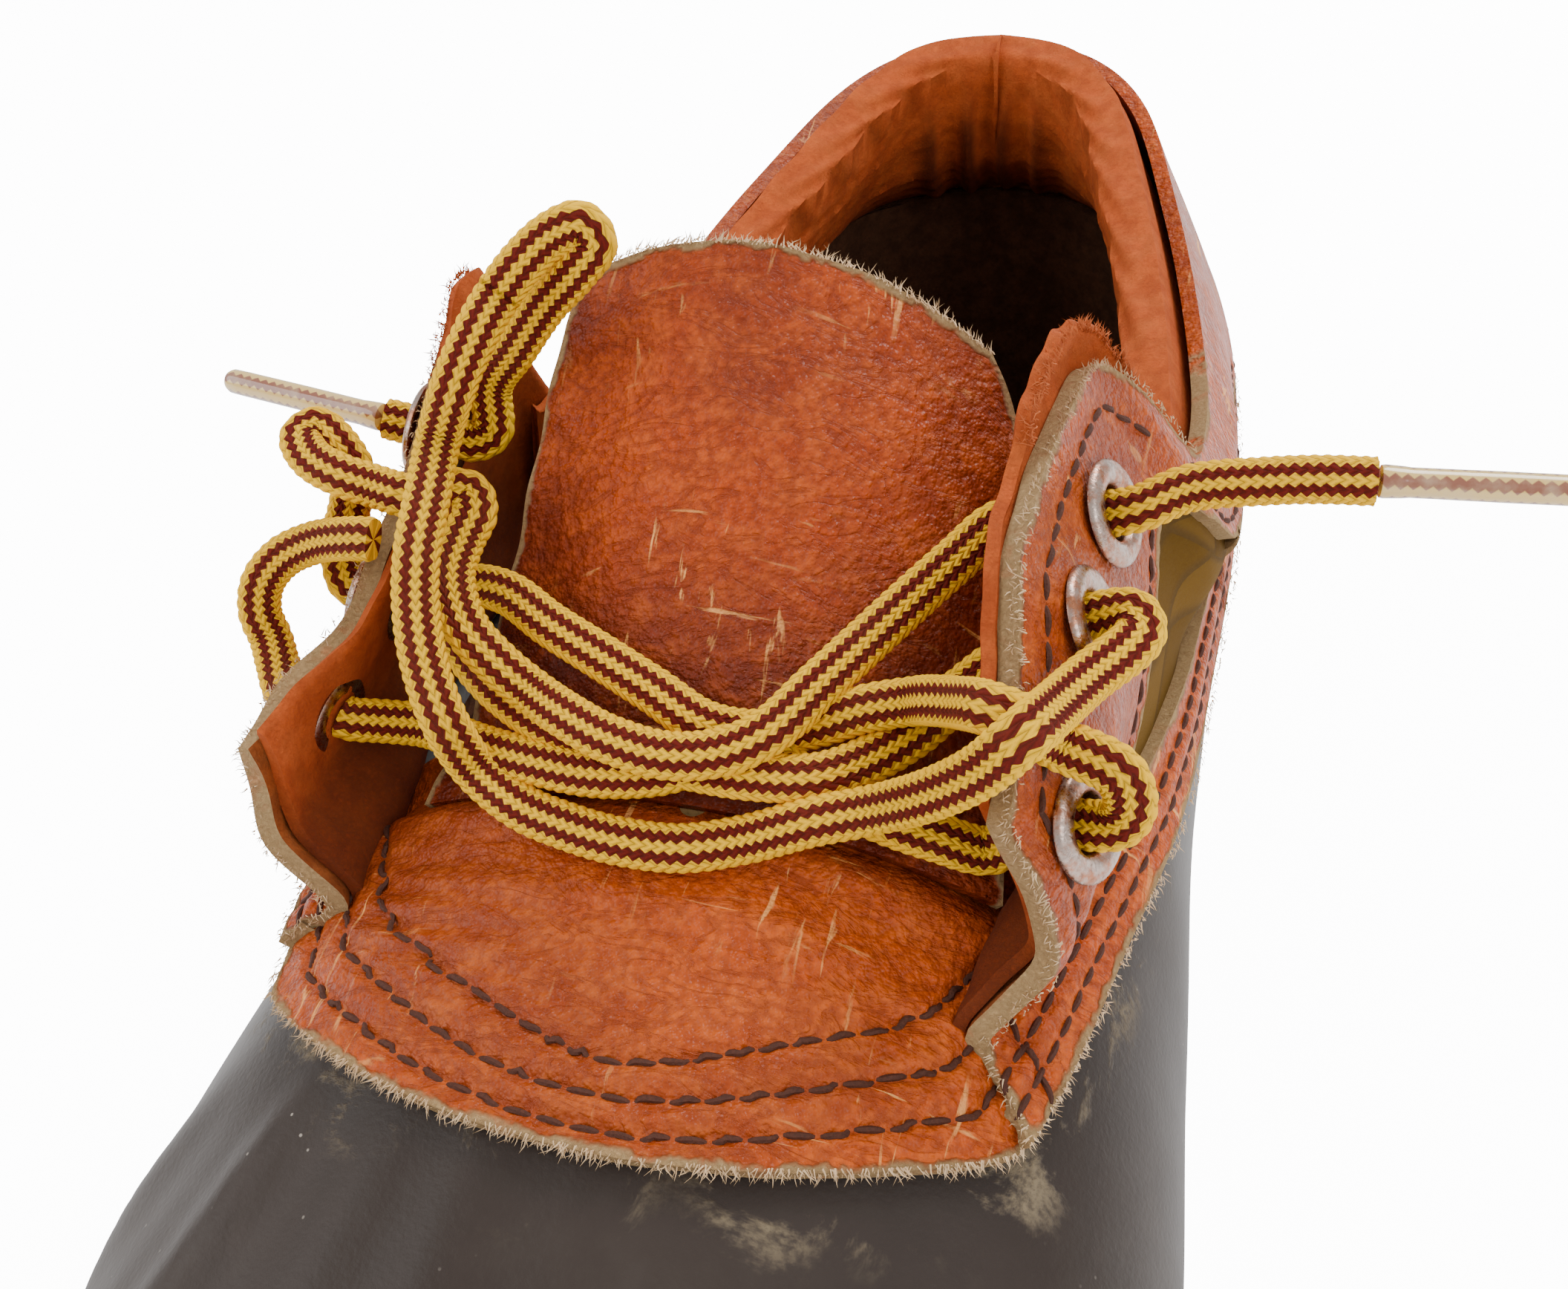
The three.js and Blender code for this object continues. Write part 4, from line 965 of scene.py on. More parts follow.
def hide_finish(name, colour, dark, light, worn):
    """Oiled, handled hide with pebbled grain, painted shade in its hollows and creases, and light scuffs.
    """
    finish, web, shader = start_finish(name, HIDE_ROUGHNESS, Specular_IOR_Level=0.17, Coat_Roughness=0.3)
    shade_field = web.node("ShaderNodeAttribute", attribute_name="shade").outputs["Fac"]
    grain = web.effect(grain_group(), Scale=1100.0)
    wear = web.effect(wear_group())
    tone = web.mix(web.math("MULTIPLY", wear["Patches"], 0.75), colour, dark)
    tone = web.tint(tone, wear["Mottle"], 0.35, light)
    # Painted shade: darker in the hollows between pebbles and along the creases.
    tone = web.tint(tone, grain["Hollow shade"], 0.5, dark)
    creased = web.math("MULTIPLY", web.math("SUBTRACT", 1.0, grain["Creases"]), 0.35)
    tone = web.mix(creased, tone, dark)
    tone = web.tint(tone, wear["Scratches"], worn, linear((232, 160, 90)))
    # Burnish and painted shade: darker where the piece's "shade" attribute is set, which only the tongue
    # has.
    burnish_and_shade = web.math("MULTIPLY", shade_field, web.range(wear["Mottle"], 0.0, 1.0, 0.85, 0.4))
    tone = web.mix(burnish_and_shade, tone, linear((84, 26, 12)))
    rough = web.math("ADD", HIDE_ROUGHNESS - 0.08, web.math("MULTIPLY", wear["Mottle"], 0.16))
    rough = web.math("ADD", rough, web.math("MULTIPLY", wear["Scratches"], 0.15))
    nap, mask = raw_edge(web, shader, tone, rough)
    web.put(shader.inputs["Coat Weight"], web.range(wear["Patches"], 0.0, 1.0, 0.0, 0.04))
    height = web.mix_value(mask, grain["Height"], web.math("MULTIPLY", nap["Height"], 2.0))
    bump(web, shader, height, 0.00055)
    return finish


def nap_finish(name, colour, dark, light, scale):
    """Suede, felt or the inside of a hide, with painted shade where the piece's "shade" attribute is set.
    """
    finish, web, shader = start_finish(name, 0.92, Specular_IOR_Level=0.2)
    nap = web.effect(nap_group(), Scale=scale)
    wear = web.effect(wear_group(), Patches=45.0)
    tone = web.mix(web.range(nap["Clumps"], 0.0, 1.0, 0.55, 1.0), dark, colour)
    tone = web.tint(tone, wear["Mottle"], 0.3, light)
    shade_field = web.node("ShaderNodeAttribute", attribute_name="shade").outputs["Fac"]
    # Painted shade: darkened towards (64, 22, 8) by the piece's "shade" attribute.
    tone = web.tint(tone, shade_field, 0.8, linear((64, 22, 8)))
    tone = web.mix(web.range(nap["Fibre"], 0.55, 0.3, 0.0, 0.4), tone, dark)
    web.put(shader.inputs["Base Color"], tone)
    bump(web, shader, nap["Height"], 0.0003)
    return finish


def lace_finish(props):
    """Two-colour braid: maroon lines with toothed edges between yellow ones."""
    finish, web, shader = start_finish("Braided lace", 0.85, Specular_IOR_Level=0.15)
    along, around, _ = web.split(web.place(source="UV"))
    along = web.math("MULTIPLY", along, 10.0)
    tooth = web.math("PINGPONG", web.math("DIVIDE", along, BRAID_PITCH), 0.5)
    across = web.math("SUBTRACT", 1.0, web.math("MULTIPLY", web.math("MODULO", around, 0.5), 4.0))
    across = web.math("ABSOLUTE", across)
    shifted = web.math("ADD", across, web.math("MULTIPLY", web.math("SUBTRACT", tooth, 0.25), 0.32))
    line = web.math("ABSOLUTE", web.math("SUBTRACT", shifted, 0.42))
    maroon = web.range(line, 0.215, 0.185)
    nap = web.effect(nap_group(), Scale=3800.0)
    yellow = web.mix(nap["Fibre"], linear((236, 166, 10)), props_colour(props.lace_yellow))
    red = web.mix(nap["Fibre"], linear((70, 18, 12)), props_colour(props.lace_maroon))
    tone = web.mix(maroon, yellow, red)
    rib = web.math("MULTIPLY", web.math("SUBTRACT", 1.0, across), 2.5)
    rib = web.math("ABSOLUTE", web.math("SUBTRACT", web.math("FRACT", rib), 0.5))
    cable = web.math("ADD", web.math("DIVIDE", along, BRAID_PITCH), web.math("MULTIPLY", rib, 1.6))
    stitch = web.math("ABSOLUTE", web.math("SINE", web.math("MULTIPLY", cable, math.pi)))
    # Painted shade: darker in the dips between the braid's stitches.
    tone = web.mix(web.range(stitch, 0.45, 0.0, 0.0, 0.42), tone, linear((70, 34, 14)))
    dust = web.effect(dust_group())
    tone = web.tint(tone, dust["Film"], 0.12, linear((150, 110, 70)))
    web.put(shader.inputs["Base Color"], tone)
    height = web.math("ADD", stitch, web.math("MULTIPLY", nap["Fibre"], 0.35))
    bump(web, shader, height, 0.00025)
    return finish


def aglet_finish():
    finish, web, shader = start_finish("Clear aglet", 0.14, Coat_Weight=0.8, Coat_Roughness=0.06)
    along, around, _ = web.split(web.place(source="UV"))
    along = web.math("MULTIPLY", along, 10.0)
    tooth = web.math("PINGPONG", web.math("DIVIDE", along, BRAID_PITCH), 0.5)
    shifted = web.math("ADD", web.math("MULTIPLY", around, 4.0), web.math("MULTIPLY", tooth, 0.4))
    line = web.math("ABSOLUTE", web.math("SUBTRACT", web.math("FRACT", shifted), 0.5))
    tone = web.mix(web.range(line, 0.28, 0.2), linear((214, 178, 96)), linear((124, 62, 40)))
    haze = web.noise(web.place(), 420.0, 4.0)
    tone = web.mix(web.range(haze, 0.4, 0.75, 0.05, 0.4), tone, linear((205, 180, 140)))
    web.put(shader.inputs["Base Color"], tone)
    web.put(shader.inputs["Roughness"], web.range(haze, 0.3, 0.8, 0.1, 0.3))
    bump(web, shader, web.math("MULTIPLY", haze, 0.5), 0.0001)
    return finish


def props_colour(colour):
    return (colour[0], colour[1], colour[2], 1.0)


def rubber_finish(props):
    """Satin moulded rubber with lint, and dried glue just below the leather."""
    finish, web, shader = start_finish("Moulded rubber", 0.44, Specular_IOR_Level=0.22)
    dust = web.effect(dust_group(), Specks=520.0)
    place = web.place()
    cloud = web.range(web.noise(place, 22.0, 5.0, 0.6), 0.35, 0.7)
    fine = web.noise(place, 1500.0, 4.0)
    tone = web.mix(cloud, props_colour(props.rubber), linear((50, 41, 36)))
    field = web.node("ShaderNodeAttribute", attribute_name="edge")
    low = web.range(field.outputs["Fac"], 9.5, 3.5)
    smear = web.range(web.noise(place, 75.0, 6.0, 0.7, 0.4), 0.53, 0.66)
    glue = web.math("MULTIPLY", web.math("MULTIPLY", low, smear), web.range(fine, 0.3, 0.6, 0.35, 0.9))
    tone = web.mix(glue, tone, linear((122, 108, 86)))
    tone = web.tint(tone, dust["Specks"], 0.6, linear((170, 160, 148)))
    tone = web.tint(tone, dust["Film"], 0.08, linear((128, 118, 108)))
    web.put(shader.inputs["Base Color"], tone)
    rough = web.math("ADD", 0.4, web.math("MULTIPLY", cloud, 0.12))
    web.put(shader.inputs["Roughness"], web.mix_value(glue, rough, 0.9))
    height = web.math("ADD", web.math("MULTIPLY", fine, 0.5), web.math("MULTIPLY", glue, 1.2))
    bump(web, shader, height, 0.0001)
    return finish


def weave_group():
    """Plain weave of round threads on the piece's own UV map, which is in centimetres."""
    def build(web, given):
        across, up, _ = web.split(web.place(source="UV"))
        across = web.math("MULTIPLY", across, given["Threads"])
        up = web.math("MULTIPLY", up, given["Threads"])
        warp = web.math("ABSOLUTE", web.math("SINE", web.math("MULTIPLY", across, math.pi)))
        weft = web.math("ABSOLUTE", web.math("SINE", web.math("MULTIPLY", up, math.pi)))
        odd = web.math("ADD", web.math("FLOOR", across), web.math("FLOOR", up))
        over = web.math("GREATER_THAN", web.math("MODULO", web.math("ABSOLUTE", odd), 2.0), 0.5)
        height = web.mix_value(over, warp, weft)
        return {"Height": height, "Over": over}
    return effect_group("Plain weave", {"Threads": 11.0}, {"Height": FLOAT, "Over": FLOAT}, build)


def canvas_finish(props):
    finish, web, shader = start_finish("Waxed canvas", 0.93, Specular_IOR_Level=0.12)
    weave = web.effect(weave_group(), Threads=11.0)
    nap = web.effect(nap_group(), Scale=3000.0)
    wear = web.effect(wear_group(), Patches=60.0)
    tone = web.mix(weave["Over"], props_colour(props.canvas), linear((98, 70, 24)))
    # Painted shade: darker where the weave's threads dip between each other.
    tone = web.mix(web.range(weave["Height"], 0.6, 0.1), tone, linear((70, 50, 22)))
    tone = web.tint(tone, wear["Patches"], 0.4, linear((82, 60, 26)))
    tone = web.tint(tone, nap["Fibre"], 0.3, linear((136, 104, 48)))
    web.put(shader.inputs["Base Color"], tone)
    height = web.math("ADD", weave["Height"], web.math("MULTIPLY", nap["Fibre"], 0.5))
    bump(web, shader, height, 0.0003)
    return finish


def eyelet_finish():
    finish, web, shader = start_finish("Worn eyelet", 0.3, 1.0)
    place = web.place()
    wear = web.range(web.noise(place, 380.0, 5.0, 0.7), 0.4, 0.62)
    fine = web.noise(place, 2200.0, 3.0)
    tone = web.mix(wear, linear((170, 152, 142)), linear((160, 104, 76)))
    tone = web.mix(web.range(fine, 0.55, 0.75, 0.0, 0.5), tone, linear((110, 84, 70)))
    web.put(shader.inputs["Base Color"], tone)
    web.put(shader.inputs["Roughness"], web.range(fine, 0.3, 0.8, 0.22, 0.5))
    bump(web, shader, fine, 0.00006)
    return finish


def thread_finish():
    finish, web, shader = start_finish("Sewing thread", 0.75, Specular_IOR_Level=0.3)
    twist = web.noise(web.place(), 3200.0, 2.0)
    tone = web.mix(twist, linear((42, 18, 10)), linear((84, 44, 28)))
    web.put(shader.inputs["Base Color"], tone)
    bump(web, shader, twist, 0.0001)
    return finish


def fibre_finish(name, light, dark):
    finish, web, shader = start_finish(name, 0.9, Specular_IOR_Level=0.2)
    tone = web.mix(web.noise(web.place(), 700.0, 2.0), linear(dark), linear(light))
    web.put(shader.inputs["Base Color"], tone)
    web.put(shader.inputs["Roughness"], web.range(web.noise(web.place(), 90.0), 0.3, 0.7, 0.8, 0.98))
    return finish


# The rubber bottom
def rim_stations(count):
    """Sections spaced evenly along the widest line."""
    table = np.linspace(0, HEEL, 2001)
    rim = rim_at(table, 1)
    length = run_length(rim)
    return np.interp(np.linspace(0, length[-1], count + 1), length, table)


def tread_depth(x, y):
    """How deep the zigzag grooves and the arch's hollow are at places under the sole, 0 to 1."""
    wave = 6.0 * np.abs((x / 77.0) % 1 * 2 - 1)
    depth = np.zeros_like(x)
    for first, last in ((0.06, 0.47), (0.70, 0.97)):
        count = int((last - first) * SHOE_LENGTH / 13.6)
        for i in range(count):
            start = (first - 0.5) * SHOE_LENGTH + 13.6 * (i + 0.5)
            into = y - start - wave
            depth = np.maximum(depth, smooth(into, -0.5, 0.5) * smooth(-into, -4.5, -3.5))
    arch = smooth(y, -6, 1.2) * smooth(-y, -57.4, -55)
    return np.maximum(depth, arch * 0.8)


# Ridges over the toe: the way each one runs, as an angle from the instep, and its height
TOE_RIDGES = ((-0.49, 0.8), (-0.32, 1.0), (-0.19, 0.4), (-0.08, 0.5), (0.62, 0.5))


def rubber_piece(props):
    stations = rim_stations(330)
    rings = []
    for side in (-1, 1):
        rim = rim_at(stations, side)
        spine = spine_at(stations)
        inward = unit(spine - rim + 1e-9)
        spring = spring_at(rim[:, 1])
        columns = []
        for share in np.linspace(0, 1, 17)[:-1]:
            foot = mix(spine, rim + inward * 5.6, share)
            deep = tread_depth(foot[:, 0], foot[:, 1]) * smooth(1 - share, 0, 0.1)
            deep = deep * props.groove_depth / MM
            columns.append(np.column_stack([foot, spring_at(foot[:, 1]) + deep]))
        profile = [
            (5.6, 0, spring), (4.3, 0.25, spring), (3.5, 1.0, spring), (3.2, 2.2, spring),
            (3.2, 5.0, spring), (3.2, LIP_HEIGHT - 1.2, spring), (3.5, LIP_HEIGHT - 0.3, spring),
            (4.4, LIP_HEIGHT + 0.3, spring), (5.0, LIP_HEIGHT + 1.1, spring),
            (4.4, LIP_HEIGHT + 3.0, 0.9 * spring), (3.0, 0.58 * WIDEST_HEIGHT, 0.85 * spring),
            (1.4, 0.72 * WIDEST_HEIGHT, 0.8 * spring), (0.5, 0.86 * WIDEST_HEIGHT, 0.65 * spring),
        ]
        for reach, height, lift in profile:
            foot = rim + inward * reach
            columns.append(np.column_stack([foot, height + lift]))
        top = rise_at(stations, side, rubber_edge(stations))
        for share in np.linspace(0, 1, 38):
            rise = top * share
            point = shell(stations, side, rise, 0.0)
            normal = skin_normal(stations, side, rise)
            swing = np.arctan2(point[:, 0] + 4, -(point[:, 1] - 30))
            fan = 0
            for at, tall in TOE_RIDGES:
                crest = np.exp(-(((swing - at) / 0.03) ** 2))
                trough = np.exp(-(((swing - at - 0.06) / 0.04) ** 2))
                fan = fan + tall * (crest - 0.3 * trough)
            fade = smooth(-point[:, 1], 46, 62) * smooth(point[:, 2], 24, 34)
            bumpy = 0.12 * ripple(point, 22, 3)
            raise_by = props.ridge_height / MM * fan * fade + bumpy * smooth(share, 0, 0.3)
            mould = np.exp(-(((point[:, 0] - 33 - 0.05 * (point[:, 1] + 80)) / 0.5) ** 2))
            raise_by = raise_by + 0.25 * mould * smooth(-point[:, 1], 56, 66) * smooth(point[:, 2], 28, 34)
            columns.append(point + normal * raise_by[:, None])
        rings.append(np.stack(columns, 1))
    grid = np.concatenate([rings[0][:, ::-1], rings[1][:, 1:]], axis=1)
    edge = np.vstack([
        shell(stations, side, rise_at(stations, side, leather_edge(stations)), 0.0) for side in (1, -1)
    ])
    edge = edge[edge[:, 1] > VAMP_FRONT - 1]
    spots = grid.reshape(-1, 3)
    near = np.full(len(spots), 99.0)
    for start in range(0, len(spots), 4000):
        gap = spots[start : start + 4000, None] - edge[None, ::3]
        near[start : start + 4000] = np.sqrt((gap**2).sum(-1)).min(1)
    piece = lay_grid("rubber_shell", grid, closed=True, fields={"edge": near.reshape(grid.shape[:2])})
    face_outwards(piece)
    thicken(piece, RUBBER_WALL, [rubber_finish(props)])
    return finish_piece(piece, None, ["rubber_bottom"], math.radians(35))


# The vamp and its tongue
def stitch_row(front, side_height, side, stations, offset):
    """Points of a seam that runs parallel to the vamp's edge, one side of the shoe."""
    height = sweep(stations, VAMP_FRONT + front, edge_base(stations) + side_height)
    return shell(stations, side, rise_at(stations, side, height), offset)


VAMP_SEAMS = ((2.2, 2.6), (5.1, 4.7), (8.2, 6.9))


def seam_line(seam, offset):
    """One seam right across the vamp from the inner to the outer side, in even steps."""
    front, height = seam
    y = VAMP_FRONT + front + (VAMP_REAR - VAMP_FRONT - front) * np.linspace(0, 1, 260) ** 2
    stations = station_of(y + 0.02)
    halves = [stitch_row(front, height, side, stations, offset) for side in (-1, 1)]
    line = np.vstack([halves[0][::-1], halves[1][1:]])
    return resample(line, 0.5)


def resample(line, step):
    length = run_length(line)
    even = np.linspace(0, length[-1], max(2, int(round(length[-1] / step)) + 1))
    return along_run(even, length, line)


def nearest(places, line):
    """Distance in mm from each place of a grid to a line of points."""
    spots = places.reshape(-1, 3)
    near = np.empty(len(spots))
    for start in range(0, len(spots), 3000):
        gap = spots[start : start + 3000, None] - line[None]
        near[start : start + 3000] = np.sqrt((gap**2).sum(-1)).min(1)
    return near.reshape(places.shape[:-1])


def vamp_grid():
    """Rows run from the raw edge up to the throat, columns from the inner to the outer side."""
    rows, lifted = [], []
    for share in np.linspace(0, 0.995, 76):
        first = VAMP_FRONT + 0.1 + (VAMP_REAR - VAMP_FRONT - 0.1) * share
        y = first + (VAMP_REAR + 9 - first) * np.linspace(0, 1, 160) ** 2
        stations = station_of(y)
        under = 2.8 * smooth(y, VAMP_REAR - 2, VAMP_REAR + 2.5)
        lines = []
        for offset in (FIT + VAMP_WALL - under, FIT + VAMP_WALL - under + 1):
            halves = []
            for side in (-1, 1):
                low = edge_base(stations) + 1.2 * smooth(stations, 4.4, 4.6)
                base = mix(low, ridge_at(stations), share)
                height = sweep(stations, first, base)
                halves.append(shell(stations, side, rise_at(stations, side, height), offset))
            lines.append(np.vstack([halves[0][::-1], halves[1][1:]]))
        length = run_length(lines[0])
        even = np.linspace(0, length[-1], 151)
        for line, kept in zip(lines, (rows, lifted)):
            kept.append(along_run(even, length, line))
    grid = np.array(rows)
    return grid, unit(np.array(lifted) - grid)


def vamp_piece(finishes):
    grid, normals = vamp_grid()
    edge = nearest(grid, resample(grid[0], 0.6))
    move = np.zeros(edge.shape)
    for seam in VAMP_SEAMS:
        gap = nearest(grid, seam_line(seam, FIT + VAMP_WALL))
        move -= 0.45 * np.exp(-((gap / 0.6) ** 2))
        move += 0.12 * np.exp(-(((gap - 1.5) / 0.8) ** 2))
    x, y = grid[..., 0], grid[..., 1]
    left = np.exp(-(((x + 30) / 15) ** 2) - (((y + 38) / 9) ** 2))
    crease = np.sin((y + 0.35 * x + 2.2 * np.sin(x / 7)) * 2 * np.pi / 3.4)
    move += 0.34 * left * crease * smooth(edge, 8, 13)
    right = np.exp(-(((x - 20) / 18) ** 2) - (((y + 36) / 8) ** 2))
    ripples = np.sin((y - 0.2 * x + 1.5 * np.sin(x / 5)) * 2 * np.pi / 4.2)
    move += 0.16 * right * ripples * smooth(edge, 9, 14)
    throat = np.exp(-(((y + 28 + 0.002 * x**2) / 2.4) ** 2))
    move += -0.45 * throat * smooth(edge, 8, 16)
    move += 0.25 * np.exp(-(((y + 32 + 0.004 * x**2) / 1.5) ** 2)) * smooth(edge, 10, 16)
    move += 0.35 * ripple(grid, 16, 1) * smooth(edge, 2, 9)
    wavy = 0.5 * np.exp(-edge / 1.6) * (1 + ripple(grid, 5, 2))
    grid = grid + normals * (move + wavy * 0.5)[..., None]
    piece = lay_grid("vamp", grid, closed=True, fields={"edge": edge})
    thicken(piece, VAMP_WALL - 0.15, finishes)
    return finish_piece(piece, None, ["upper"])


def tongue_grid(rows, columns):
    along = np.linspace(0, 1, rows)[:, None]
    numbered = np.column_stack([np.arange(len(TONGUE_ROWS)), TONGUE_ROWS])
    place = along * (len(TONGUE_ROWS) - 1)
    back, up, half, droop, tip = (read(numbered, place, i) for i in range(1, 6))
    share = np.linspace(-1, 1, columns)[None]
    base = shell(station_of(np.array([VAMP_REAR])), 1, np.array([1.0]), FIT + VAMP_WALL)[0]
    drop = TONGUE_WIDTH * (droop * share**2 + tip * (share + 0.4) / 1.4)
    parts = np.broadcast_arrays(
        base[0] + TONGUE_WIDTH / 2 * half * share,
        base[1] + 2 * FIT + TONGUE_LENGTH * back + 0 * share,
        base[2] + TONGUE_LENGTH * up - drop,
    )
    return np.stack(parts, -1)


def tongue_piece(finishes):
    grid = tongue_grid(110, 120)
    normals = grid_normals(grid)
    rim = np.vstack([grid[:, 0], grid[-1], grid[::-1, -1]])
    edge = nearest(grid, resample(rim, 0.6))
    x, y = grid[..., 0], grid[..., 1]
    move = 0.35 * ripple(grid, 20, 4)
    fold = np.exp(-(((y - grid[0, 60, 1] - 5.5 - 0.004 * x**2) / 3.0) ** 2))
    move += -0.9 * fold
    dent = np.exp(-(((x + 19) / 5) ** 2) - (((y - grid[-1, 0, 1] + 9) / 7) ** 2))
    move += -1.1 * dent
    curl = smooth(-edge, -6, 0)
    move += 0.6 * curl * ripple(grid, 11, 6)
    grid = grid + normals * move[..., None] * smooth(np.arange(110), 0, 8)[:, None, None]
    top = np.arange(110)[:, None] / 109
    grid[..., 1] += 0.5 * ripple(grid, 4, 9) * smooth(top, 0.9, 1.0)
    # Burnish and painted shade: darker towards the tongue's left edge and its foot, read by the finish
    # from the "shade" attribute.
    shade = np.exp(-(((x + 27) / 9) ** 2)) * 0.7 + smooth(-y, -grid[0, 60, 1] - 22, -grid[0, 60, 1] - 6)
    shade = np.clip(shade + 0.35 * ripple(grid, 14, 8), 0, 1)
    piece = lay_grid("tongue_flap", grid, fields={"edge": edge, "shade": shade})
    thicken(piece, 1.9, finishes)
    return finish_piece(piece, None, ["tongue"])


# The quarters: leather sides from flap to flap round the heel
WINDOW_LOW = (5.12, 7.6, 0.49)
WINDOW_HIGH = (6.03, 6.95, 0.83, 0.66)


def window_point(side, along, up, grow=0.0):
    """A place in the canvas window: along 0 to 1 from the eyestay back, up 0 to 1."""
    along = along * (1 + 2 * grow) - grow
    up = up * (1 + 2 * grow) - grow
    front = mix(WINDOW_LOW[0], WINDOW_HIGH[0], up)
    rear = mix(WINDOW_LOW[1], WINDOW_HIGH[1], up)
    high = mix(WINDOW_HIGH[2], WINDOW_HIGH[3], along)
    return quarter_point(side, mix(front, rear, along), mix(WINDOW_LOW[2], high, up))


def window_rim(side):
    t = np.linspace(0, 1, 40)
    zero = np.zeros_like(t)
    parts = [(t, zero), (zero + 1, t), (t[::-1], zero + 1), (zero, t[::-1])]
    return resample(np.vstack([window_point(side, a, u) for a, u in parts]), 0.35)


def window_cutter(side):
    along, up = np.meshgrid(np.linspace(0, 1, 30), np.linspace(0, 1, 16))
    grid = window_point(side, along, up)
    if side < 0:
        grid = grid[:, ::-1]
    grid = grid + grid_normals(grid) * 3.0
    piece = lay_grid("window", grid)
    thicken(piece, 9.0, [])
    return piece


def eyelet_seat(name):
    side, station, share = EYELETS[name]
    here, along, up = (
        quarter_point(side, np.array([station + ds]), np.array([share + du]))[0]
        for ds, du in ((0, 0), (0.02, 0), (0, 0.02))
    )
    normal = unit(np.cross(along - here, up - here)) * (1 if side > 0 else -1)
    return here, normal


def hole_cutter(name):
    centre, normal = eyelet_seat(name)
    deselect()
    bpy.ops.mesh.primitive_cylinder_add(vertices=24, radius=3.6 * MM, depth=16 * MM)
    cutter = bpy.context.object
    turn = Vector((0, 0, 1)).rotation_difference(Vector(normal)).to_matrix().to_4x4()
    turn.translation = Vector(place_of(centre))
    cutter.data.transform(turn)
    return cutter


class Surface:
    """Finds the nearest place of a worked-out grid, and the way out of it there."""

    def __init__(self, spots, faces):
        self.tree = BVHTree.FromPolygons(spots.tolist(), faces)

    def near(self, points):
        found = [self.tree.find_nearest(Vector(point)) for point in points]
        return np.array([f[0] for f in found]), np.array([f[1] for f in found])


def grid_surface(grid):
    rows, columns = grid.shape[:2]
    index = np.arange(rows * columns).reshape(rows, columns)
    corners = [index[:-1, :-1], index[:-1, 1:], index[1:, 1:], index[1:, :-1]]
    return Surface(grid.reshape(-1, 3), np.stack(corners, -1).reshape(-1, 4).tolist())


def inset_line(surface, line, distance, inwards):
    """A line on the surface at a distance from another, to its left or its right."""
    way = 1 if inwards == "left" else -1
    tangent = unit(np.gradient(line, axis=0))
    for _ in range(4):
        _, normal = surface.near(line)
        line = line + unit(np.cross(normal, tangent)) * way * distance / 4
        line, _ = surface.near(line)
    kernel = np.hanning(9)[1:-1]
    kernel /= kernel.sum()
    padded = np.pad(line, ((3, 3), (0, 0)), mode="edge")
    line = np.column_stack([np.convolve(padded[:, i], kernel, "valid") for i in range(3)])
    return surface.near(resample(line, 0.6))[0]


QUARTER_COLUMNS = 440
QUARTER_ROWS = 44


def quarter_base():
    places = np.linspace(-1, 1, QUARTER_COLUMNS)
    return places, quarter_grid(places, np.linspace(0, 1, QUARTER_ROWS))


def flap_line(side, first_share, last_station):
    """A flap's free edge, up its front and back along its top."""
    front = (OUTER_QUARTER if side > 0 else INNER_QUARTER)[0, 0]
    up = quarter_point(side, np.full(60, front), np.linspace(first_share, 1, 60))
    back = np.linspace(front, last_station, 120)
    top = quarter_point(side, back, np.ones(120))
    return resample(np.vstack([up, top[1:]]), 0.6)


def quarter_seams(surface):
    """Named seam lines on the quarters."""
    seams = {}
    for side, label in ((1, "outer"), (-1, "inner")):
        way = "right" if side > 0 else "left"
        edge = flap_line(side, 0.10, 6.15)
        seams["flap_" + label] = inset_line(surface, edge, 4.4, way)
        front = (OUTER_QUARTER if side > 0 else INNER_QUARTER)[0, 0]
        strip = resample(quarter_point(side, np.linspace(front, 10.985, 400), np.zeros(400)), 0.6)
        other = "left" if side > 0 else "right"
        for i, depth in enumerate((2.6, 5.4)):
            seams["strip_%s_%d" % (label, i)] = inset_line(surface, strip, depth, other)
        t = np.linspace(-0.25, 1.3, 60)
        stay = window_point(side, np.full(60, -0.0), np.clip(t, -0.3, 1.22))
        seams["stay_" + label] = inset_line(surface, resample(stay, 0.6), 2.2, other)
        top = window_point(side, np.linspace(0.0, 1.15, 60), np.full(60, 1.0))
        seams["band_" + label] = inset_line(surface, resample(top, 0.6), 2.2, other)
        rear = window_point(side, np.full(60, 1.0), np.linspace(-0.1, 1.0, 60))
        seams["heel_" + label] = inset_line(surface, resample(rear, 0.6), 2.4, way)
    return seams


def quarter_shape(places, grid, seams):
    """The leather's own unevenness: seam grooves, wavy flaps and soft dents."""
    station = station_at(places)
    normals = grid_normals(grid)
    rims = [grid[:, 0], grid[-1], grid[::-1, -1], grid[0]]
    rims = np.vstack([resample(rim, 0.35) for rim in rims] + [window_rim(1), window_rim(-1)])
    edge = nearest(grid, rims)
    move = 0.3 * ripple(grid, 24, 5) * smooth(edge, 1, 6)
    for line in seams.values():
        gap = nearest(grid, line[::2])
        move = move - 0.35 * np.exp(-((gap / 0.7) ** 2)) + 0.15 * np.exp(-(((gap - 1.9) / 0.9) ** 2))
    share = np.linspace(0, 1, len(grid))[:, None]
    flap = (1 - smooth(station, 5.8, 6.4))[None]
    rim = smooth(share, 0.7, 1.0)
    move = move + flap * rim * (0.7 * ripple(grid, 15, 7) + 0.3 * ripple(grid, 7, 8))
    front = smooth(-np.minimum(np.abs(1 - np.abs(places)) * 160, 9)[None], -7, 0)
    move = move + front * share * 0.6 * ripple(grid, 9, 11)
    return grid + normals * move[..., None], edge


